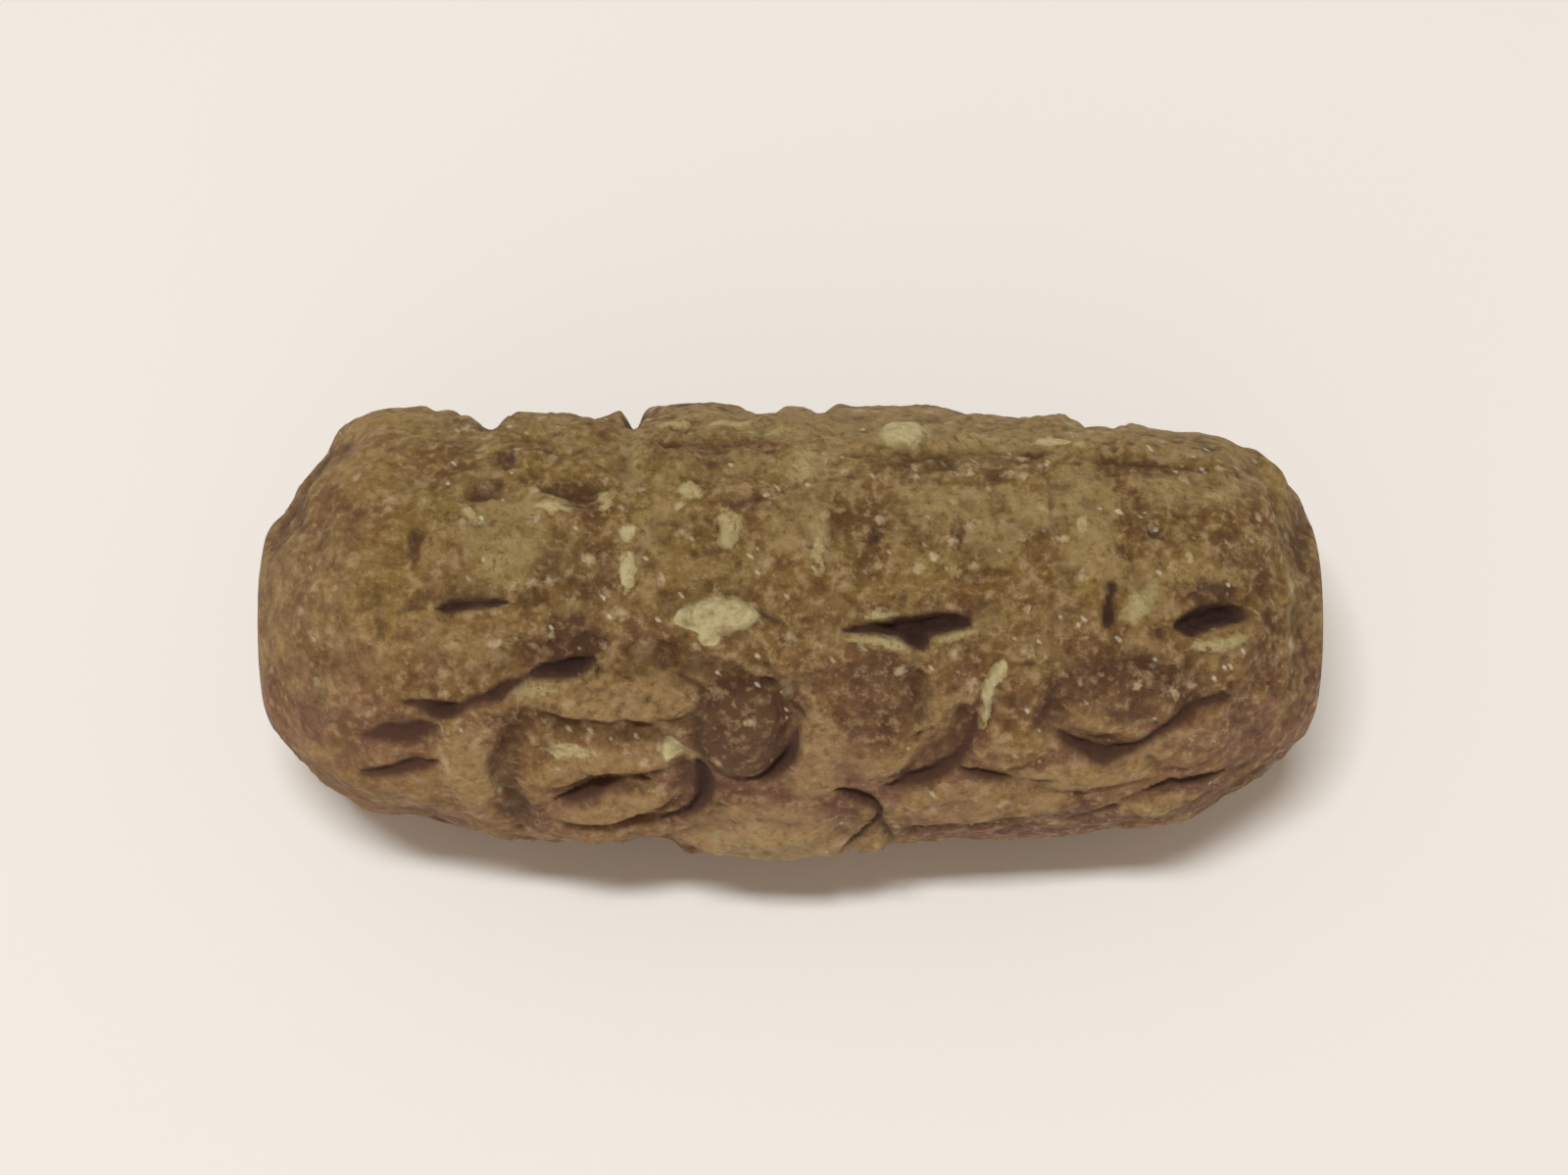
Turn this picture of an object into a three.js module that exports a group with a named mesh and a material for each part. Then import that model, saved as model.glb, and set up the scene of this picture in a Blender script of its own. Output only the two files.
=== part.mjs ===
// Cylinder seal: a slim barrel of coarse fired clay, carved all round its wall, with a
// stringing hole from end to end and a small worn flat that it rests on.
//
// Millimetres and degrees. +X runs along the seal and +Z is up. The origin is the middle
// of the small flat. Angles go round the long axis: 0 is the top, 90 the front (-Y),
// 180 the underside and -90 the back.

import * as THREE from 'three';
import { mergeVertices } from 'three/addons/utils/BufferGeometryUtils.js';

// Driving dimensions of the barrel
const LENGTH = 48;
const BELLY_RADIUS = 10.05;
const BARREL_BULGE = 0.0022; // radius lost per square millimetre from the middle
const BARREL_TAPER = 0.012; // radius lost per millimetre towards +X
const DOME_LENGTH = 5.6; // rounded stretch at each end
const DOME_POWER = 1.6; // 2 is an ellipse, less is blunter

// The stringing hole and the flat ring round each of its mouths
const BORE_RADIUS = 3.1;
const MOUTH_RADIUS = 3.5;
const MOUTH_DEPTH = 1.2; // worn flare at each mouth
const RING_RADIUS = 4.2;
const RELIEF_START_RADIUS = 6; // carving fades out between here and the ring

// The small flat underneath
const FLAT_DEPTH = 0.3;
const AXIS_HEIGHT = BELLY_RADIUS - FLAT_DEPTH;

// Fineness of the surface
const SIDES = 72;
const BARREL_STEPS = 41;
const DOME_STEPS = 8;
const BORE_STEPS = 4;
const FINE_ANGLE = 20; // the facets are narrowest round this angle
const FINE_SHARE = 0.36; // and narrower there by this share
const CUT_STEPS = 12; // straight steps along each cut
const CUT_END = 0.12; // share of a cut's length over which it runs out

// Slow unevenness of the wall: height * sin(along * x + around * angle + start), with x in
// millimetres and the angle in radians.
const WAVES = [
  { height: 0.07, along: 0.42, around: 0, start: 1.3 },
  { height: 0.05, along: 0.3, around: 2, start: 0.4 },
  { height: 0.06, along: 0.23, around: 3, start: 0 },
  { height: 0.04, along: 0.95, around: 5, start: 2 },
];

const CLAY_COLOUR = 0x8a6b43;
const CLAY_ROUGHNESS = 0.9;

// Cuts. Each route is a few [x, angle] points that one smooth curve passes through.
const CUTS = [
  // the deep gash near the middle, and the pocket that opens below it
  { route: [[2, 22], [4.2, 20.8], [6.4, 20], [8.5, 19.4]], halfWidth: 0.8, depth: 1.5 },
  { route: [[5.5, 19], [5.5, 28]], halfWidth: 0.75, depth: 1.3 },
  // the short pit near the +X end
  { route: [[16.7, 22], [18.2, 20], [20, 17.5]], halfWidth: 0.95, depth: 2.4 },
  // the upturned curve below that pit, and the stroke at its left
  {
    route: [[11.2, 46], [12.4, 53], [14, 57], [16, 51.5], [17.6, 44.5], [19.6, 42]],
    halfWidth: 0.7,
    depth: 0.65,
  },
  { route: [[12.2, 33], [11.1, 48]], halfWidth: 0.65, depth: 0.45 },
  // two cuts low on the +X half
  { route: [[14.4, 85], [16.2, 75], [19.4, 71.5]], halfWidth: 0.75, depth: 0.6 },
  { route: [[7.4, 61], [9.2, 67.5], [12, 68.5]], halfWidth: 0.65, depth: 0.5 },
  // the diagonal trench
  { route: [[8.8, 43], [7.8, 53], [6.6, 61], [3.9, 68.5]], halfWidth: 0.85, depth: 0.9 },
  // the hook round the boss in the middle
  {
    route: [[-1, 33.5], [0.3, 41], [0.7, 47], [0.1, 56], [-1.6, 65]],
    halfWidth: 0.75,
    depth: 0.9,
  },
  // the long slanting gash of the -X half, and two strokes under it
  {
    route: [[-17.6, 41.5], [-15.1, 44], [-12.9, 38], [-10.6, 31], [-8.4, 28.5]],
    halfWidth: 0.85,
    depth: 1.2,
  },
  { route: [[-19, 53], [-15.4, 49.5]], halfWidth: 0.7, depth: 0.55 },
  { route: [[-20, 70.5], [-17.5, 64], [-15.7, 59.5]], halfWidth: 0.75, depth: 0.65 },
  // the straight gash above them
  { route: [[-17.6, 16], [-15, 16.3], [-12.2, 15.2], [-10.7, 15]], halfWidth: 0.7, depth: 1 },
  // the paired rolls low on the -X half: left end, slot between, crease below, right pocket
  { route: [[-11.5, 45], [-12.8, 57], [-12.4, 72], [-12.2, 88]], halfWidth: 0.9, depth: 0.55 },
  { route: [[-11.4, 75], [-9.3, 69], [-6.8, 63]], halfWidth: 0.65, depth: 0.7 },
  { route: [[-10.8, 84], [-7, 83]], halfWidth: 0.6, depth: 0.35 },
  { route: [[-4.2, 57], [-3.6, 67], [-4.6, 79], [-6, 87]], halfWidth: 0.8, depth: 1 },
  // the fold low in the middle
  { route: [[1.5, 66], [3.2, 70.5], [3.9, 79], [4.3, 90]], halfWidth: 0.75, depth: 0.9 },
  { route: [[4.2, 84], [2.6, 97]], halfWidth: 0.7, depth: 0.5 },
  // notches over the back edge
  { route: [[-14, -40], [-14.1, -70], [-13.8, -102]], halfWidth: 1.35, depth: 1.2 },
  { route: [[-7, -34], [-7.3, -70], [-7.8, -104]], halfWidth: 0.8, depth: 1.2 },
  { route: [[-1.2, -48], [-1.3, -92]], halfWidth: 1.4, depth: 0.4 },
  { route: [[1.4, -50], [1.5, -88]], halfWidth: 0.8, depth: 0.25 },
  { route: [[14.2, -44], [14.3, -70], [13.8, -96]], halfWidth: 1.4, depth: 0.55 },
  // plainer cuts round the back and underneath
  { route: [[-19, -118], [-13.5, -127], [-8, -121]], halfWidth: 0.9, depth: 0.8 },
  { route: [[-3.4, -111], [0.8, -122], [0, -137], [-4.2, -143]], halfWidth: 0.8, depth: 0.8 },
  { route: [[5, -106], [10, -113], [15.5, -108]], halfWidth: 0.8, depth: 0.8 },
  { route: [[7.5, -134], [13, -141], [18, -131]], halfWidth: 0.8, depth: 0.7 },
  { route: [[-16.5, -146], [-11, -142]], halfWidth: 0.8, depth: 0.6 },
  { route: [[-11, 118], [-5, 126], [1, 121]], halfWidth: 0.8, depth: 0.7 },
  { route: [[6, 111], [11.5, 119], [17, 112]], halfWidth: 0.8, depth: 0.7 },
  { route: [[-18.4, 104], [-15, 116]], halfWidth: 0.8, depth: 0.6 },
  { route: [[9.5, 138], [14.5, 143]], halfWidth: 0.8, depth: 0.5 },
];

// Swellings, and hollows where the height is negative. along and around are half sizes in
// millimetres; turn tips the +X end of the swelling round the seal.
const SWELLINGS = [
  // the pale lump at the top of the middle
  { x: -3.1, angle: 18, along: 2.1, around: 1.2, turn: 0, height: 0.4 },
  // the round boss that the hook goes round
  { x: -2.4, angle: 47, along: 2.9, around: 2.6, turn: 0, height: 0.5 },
  // the sloping lobe to its left
  { x: -8, angle: 41, along: 5, around: 1.9, turn: 0, height: 0.35 },
  // the paired rolls
  { x: -8.6, angle: 58, along: 4.2, around: 1.4, turn: -12, height: 0.4 },
  { x: -7.8, angle: 75, along: 4, around: 1.5, turn: -8, height: 0.4 },
  // the block between the hook and the trench
  { x: 3.6, angle: 50, along: 3, around: 3.2, turn: 0, height: 0.3 },
  // the field above the upturned curve, and the bands below it
  { x: 14.8, angle: 44, along: 3.4, around: 2.3, turn: 0, height: 0.3 },
  { x: 12.2, angle: 63, along: 4, around: 1.4, turn: 6, height: 0.25 },
  { x: 9, angle: 80, along: 4.5, around: 2, turn: 0, height: 0.25 },
  // the lobe low in the middle, and the pebble beside it
  { x: -0.8, angle: 97, along: 4.2, around: 3.2, turn: 0, height: 0.75 },
  { x: 3.8, angle: 98, along: 1.2, around: 1.3, turn: 0, height: 0.5 },
  // full and hollow stretches of the two back shoulders and of the back edge
  { x: -17.4, angle: -68, along: 3, around: 4, turn: 0, height: 0.65 },
  { x: -22, angle: -45, along: 2.2, around: 4.5, turn: 0, height: -0.5 },
  { x: 20.9, angle: -64, along: 3.2, around: 4.6, turn: 0, height: 0.85 },
  { x: -3.9, angle: -74, along: 3, around: 4, turn: 0, height: 0.45 },
  { x: 5, angle: -74, along: 4.2, around: 4, turn: 0, height: 0.4 },
  { x: 15, angle: -70, along: 2.6, around: 3, turn: 0, height: -0.3 },
  // hollow front shoulder at -X
  { x: -20, angle: 88, along: 3.6, around: 3.6, turn: 0, height: -0.45 },
  // the flattened +X end
  { x: 23.4, angle: 0, along: 1.6, around: 6, turn: 0, height: -0.4 },
  // plainer shapes round the back and underneath
  { x: -13.5, angle: -108, along: 4, around: 2, turn: 0, height: 0.35 },
  { x: -2.5, angle: -128, along: 2.6, around: 2.4, turn: 0, height: 0.45 },
  { x: 10.5, angle: -125, along: 4.5, around: 1.6, turn: 0, height: 0.35 },
  { x: 11, angle: 130, along: 4, around: 1.8, turn: 0, height: 0.35 },
  { x: -5, angle: 113, along: 3.6, around: 1.6, turn: 0, height: 0.3 },
];

// Radius of the plain barrel, before carving, at a distance x from its middle.
function barrelRadius(x) {
  const fromEnd = LENGTH / 2 - Math.abs(x);
  const full = BELLY_RADIUS - BARREL_BULGE * x * x - BARREL_TAPER * x;
  if (fromEnd >= DOME_LENGTH) return full;
  const rise = 1 - (1 - fromEnd / DOME_LENGTH) ** DOME_POWER;
  return RING_RADIUS + (full - RING_RADIUS) * rise ** (1 / DOME_POWER);
}

// Point at [x, angle] on a ring of the given radius about the long axis.
function ringPoint(x, angle, radius) {
  const a = THREE.MathUtils.degToRad(angle);
  return new THREE.Vector3(x, -radius * Math.sin(a), AXIS_HEIGHT + radius * Math.cos(a));
}

function barrelPoint(x, angle) {
  return ringPoint(x, angle, barrelRadius(x));
}

// The cuts as straight steps along their smooth curves.
const cutPaths = CUTS.map((cut) => {
  const curve = new THREE.CatmullRomCurve3(cut.route.map(([x, angle]) => barrelPoint(x, angle)));
  return { points: curve.getSpacedPoints(CUT_STEPS), halfWidth: cut.halfWidth, depth: cut.depth };
});

// How deep one cut is at a point of the plain barrel.
function cutDepth(path, point) {
  const step = new THREE.Line3();
  const nearest = new THREE.Vector3();
  let bestDistance = Infinity;
  let bestShare = 0;
  for (let i = 0; i < CUT_STEPS; i += 1) {
    step.set(path.points[i], path.points[i + 1]);
    const along = step.closestPointToPointParameter(point, true);
    const distance = step.at(along, nearest).distanceTo(point);
    if (distance < bestDistance) {
      bestDistance = distance;
      bestShare = (i + along) / CUT_STEPS;
    }
  }
  const fullness = Math.sqrt(Math.sin(Math.PI * THREE.MathUtils.clamp(bestShare, CUT_END, 1 - CUT_END)));
  const across = bestDistance / (path.halfWidth * fullness);
  return across < 1 ? path.depth * fullness * (1 - across * across) ** 1.5 : 0;
}

// How far one swelling lifts the plain barrel at [x, angle].
function swellingHeight(swelling, x, angle) {
  const turn = THREE.MathUtils.degToRad(swelling.turn);
  const away = THREE.MathUtils.euclideanModulo(angle - swelling.angle + 180, 360) - 180;
  const alongMm = x - swelling.x;
  const aroundMm = THREE.MathUtils.degToRad(away) * barrelRadius(x);
  const u = (alongMm * Math.cos(turn) + aroundMm * Math.sin(turn)) / swelling.along;
  const v = (aroundMm * Math.cos(turn) - alongMm * Math.sin(turn)) / swelling.around;
  return swelling.height * THREE.MathUtils.smoothstep(1 - u * u - v * v, 0, 1);
}

function unevenness(x, angle) {
  const a = THREE.MathUtils.degToRad(angle);
  let lift = 0;
  for (const wave of WAVES) {
    lift += wave.height * Math.sin(wave.along * x + wave.around * a + wave.start);
  }
  return lift;
}

// The worked wall: the plain barrel moved in or out along the line from its spine.
function wallPoint(x, angle) {
  const base = barrelPoint(x, angle);
  const cut = Math.max(...cutPaths.map((path) => cutDepth(path, base)));
  let lift = unevenness(x, angle) - cut;
  for (const swelling of SWELLINGS) {
    lift += swellingHeight(swelling, x, angle);
  }
  const spineReach = LENGTH / 2 - DOME_LENGTH;
  const spineX = THREE.MathUtils.clamp(x, -spineReach, spineReach);
  const outward = base.clone().sub(new THREE.Vector3(spineX, 0, AXIS_HEIGHT)).normalize();
  const share = THREE.MathUtils.smoothstep(barrelRadius(x), RING_RADIUS, RELIEF_START_RADIUS);
  const point = base.addScaledVector(outward, lift * share);
  point.z = Math.max(point.z, 0);
  return point;
}

// Stations of the closed section, as Vector2(radius, x): out over the wall from -X to +X,
// then back through the bore. Wall stations are marked so that only they are carved.
function sealSection() {
  const half = LENGTH / 2;
  const wall = [];
  for (let i = 0; i < DOME_STEPS; i += 1) {
    const turn = (i / DOME_STEPS) * (Math.PI / 2);
    wall.push(-half + DOME_LENGTH * (1 - Math.cos(turn)));
  }
  const barrelLength = LENGTH - 2 * DOME_LENGTH;
  for (let i = 0; i <= BARREL_STEPS; i += 1) {
    wall.push(-barrelLength / 2 + (barrelLength * i) / BARREL_STEPS);
  }
  for (let i = DOME_STEPS - 1; i >= 0; i -= 1) {
    const turn = (i / DOME_STEPS) * (Math.PI / 2);
    wall.push(half - DOME_LENGTH * (1 - Math.cos(turn)));
  }
  const bore = [];
  const boreLength = LENGTH - 2 * MOUTH_DEPTH;
  for (let i = 0; i <= BORE_STEPS; i += 1) {
    bore.push(new THREE.Vector2(BORE_RADIUS, boreLength * (0.5 - i / BORE_STEPS)));
  }
  const section = [new THREE.Vector2(MOUTH_RADIUS, -half)];
  section.push(...wall.map((x) => new THREE.Vector2(barrelRadius(x), x)));
  section.push(new THREE.Vector2(MOUTH_RADIUS, half));
  section.push(...bore);
  section.push(section[0].clone());
  return { section, firstWall: 1, lastWall: wall.length };
}

// Angle of one side, spaced so that the sides are narrower round FINE_ANGLE.
function sideAngle(side) {
  const turn = (2 * side) / SIDES - 1;
  return FINE_ANGLE + 180 * (turn - (FINE_SHARE * Math.sin(Math.PI * turn)) / Math.PI);
}

function sealGeometry() {
  const { section, firstWall, lastWall } = sealSection();
  const lathe = new THREE.LatheGeometry(section, SIDES);
  const position = lathe.getAttribute('position');
  for (let i = 0; i < position.count; i += 1) {
    const side = Math.floor(i / section.length);
    const station = i % section.length;
    const radius = section[station].x;
    const x = section[station].y;
    const angle = sideAngle(side % SIDES);
    const carved = station >= firstWall && station <= lastWall;
    const point = carved ? wallPoint(x, angle) : ringPoint(x, angle, radius);
    position.setXYZ(i, point.x, point.y, point.z);
  }
  lathe.deleteAttribute('normal');
  lathe.deleteAttribute('uv');
  const solid = mergeVertices(lathe);
  solid.computeVertexNormals();
  return solid;
}

const clay = new THREE.MeshStandardMaterial({
  color: CLAY_COLOUR,
  roughness: CLAY_ROUGHNESS,
  metalness: 0,
});
const seal = new THREE.Mesh(sealGeometry(), clay);
seal.name = 'seal';

const cylinderSeal = new THREE.Group();
cylinderSeal.add(seal);

export default cylinderSeal;
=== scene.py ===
"""Cylinder seal: its fine carving and fired clay finish, on a plain pale floor.

The seal is a barrel with a stringing hole. Its wall is one closed grid of rings along the
long axis and sides round it, moved in and out by carved cuts, swellings and grain.
Lengths on the seal are in millimetres until its mesh is made, and the camera, lights and
floor are set out in metres. Places on the wall are (x, angle): x runs along the seal from
its middle, and the angle goes round the long axis in degrees, 0 on top, 90 in front (-Y),
180 underneath and -90 behind.
"""

import math

import bpy
import numpy as np
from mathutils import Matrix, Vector


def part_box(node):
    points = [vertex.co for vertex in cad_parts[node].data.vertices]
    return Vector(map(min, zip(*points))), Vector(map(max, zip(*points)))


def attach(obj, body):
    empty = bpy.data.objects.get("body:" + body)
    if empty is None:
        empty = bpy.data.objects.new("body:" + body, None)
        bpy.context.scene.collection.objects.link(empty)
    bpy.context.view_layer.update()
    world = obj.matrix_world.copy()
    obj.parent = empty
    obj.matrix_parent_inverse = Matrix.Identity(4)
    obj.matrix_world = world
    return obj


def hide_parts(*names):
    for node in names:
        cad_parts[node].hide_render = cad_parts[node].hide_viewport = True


MM = 0.001

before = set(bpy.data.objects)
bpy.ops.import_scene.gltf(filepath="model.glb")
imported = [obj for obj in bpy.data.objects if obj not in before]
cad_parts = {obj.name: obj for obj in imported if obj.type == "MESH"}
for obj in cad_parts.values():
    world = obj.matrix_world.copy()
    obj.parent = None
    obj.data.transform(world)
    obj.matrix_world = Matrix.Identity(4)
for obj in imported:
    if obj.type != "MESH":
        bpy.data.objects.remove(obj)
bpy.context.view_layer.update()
NODE = "seal"
node_low, node_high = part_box(NODE)

# ---------------------------------------------------------------- the plain barrel
LENGTH = (node_high.x - node_low.x) / MM
UNIT = LENGTH / 48  # every size below is as on a seal 48 mm long
BELLY_RADIUS = 10.05 * UNIT
BARREL_BULGE = 0.0022 / UNIT
BARREL_TAPER = 0.012
DOME_LENGTH = 5.6 * UNIT
DOME_POWER = 1.6
BORE_RADIUS = 3.1 * UNIT
MOUTH_RADIUS = 3.5 * UNIT
MOUTH_DEPTH = 1.2 * UNIT
RING_RADIUS = 4.2 * UNIT
RELIEF_START_RADIUS = 5.8 * UNIT
AXIS_HEIGHT = BELLY_RADIUS - 0.3 * UNIT

# ---------------------------------------------------------------- fineness of the mesh
SIDES = 312
FINE_ANGLE = 20  # degrees round, where the sides are narrowest
FINE_SHARE = 0.3  # how much narrower they are there than the mean
BARREL_STEPS = 236
DOME_STEPS = 30
BORE_STEPS = 8

# ---------------------------------------------------------------- how the wall is worked
ROUTE_STEPS = 10  # straight lengths between two points of a cut's route
LEAST_HALF_WIDTH = 0.05
BLUNT_END = 0.12  # how far a cut of even width starts along its own taper
NARROWING = 0.7  # power by which a cut gets shallower where it narrows
WANDER = (0.9, 0.16)  # size and reach of the small waver in every edge
SWAY = (2.4, 0.16)  # the same for the broad waver
SWAY_ROUND = 0.12
FRAY = (0.55, 0.22)  # the same for the edges of light and dark patches
PATCH_FADE = (-0.5, 0.7)  # shares of an ellipse between which a patch fades in
LEAST_SANDY = 0.35
SMOOTH_RIM = (-78, 28, 0.5)  # middle and spread in degrees, and the share of sand it lacks
LONG_WAVE = (0.07, 0.42, 1.3)  # height, radians for each mm and start of the wave along it
UNEVENNESS = [(5.0, 0.14, 1), (2.2, 0.16, 2)]  # (size, height, seed)
SANDINESS = [(1.1, 0.20, 3), (0.6, 0.11, 4)]
# (spacing, seed), then for standing grains and for the pits of lost ones: the limit that
# picks them, their height, and their radius in spacings
LOOSE_GRAINS = [
    ((0.85, 60), (0.70, 0.12, 0.42), (0.16, 0.16, 0.36)),
    ((0.42, 70), (0.60, 0.07, 0.50), (0.18, 0.09, 0.50)),
]
# windows, in rings and sides, and how strongly what lies under or over their mean shows: painted
# shade and dirt in hollows, painted highlight and wear on high places
FINE_WINDOW, FINE_HOLLOW, FINE_RAISED = 3, 2.5, 3.0
BROAD_WINDOW, BROAD_HOLLOW, BROAD_RAISED = 12, 2.2, 2.4
SHADE_WINDOW = 2
# values for the hole's wall, which darken it: painted shade inside the hole
BORE_SHADE_AND_FINISH = {"hollow": 0.35, "stain_and_shade": 0.6, "coarse": 0.5}
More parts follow.
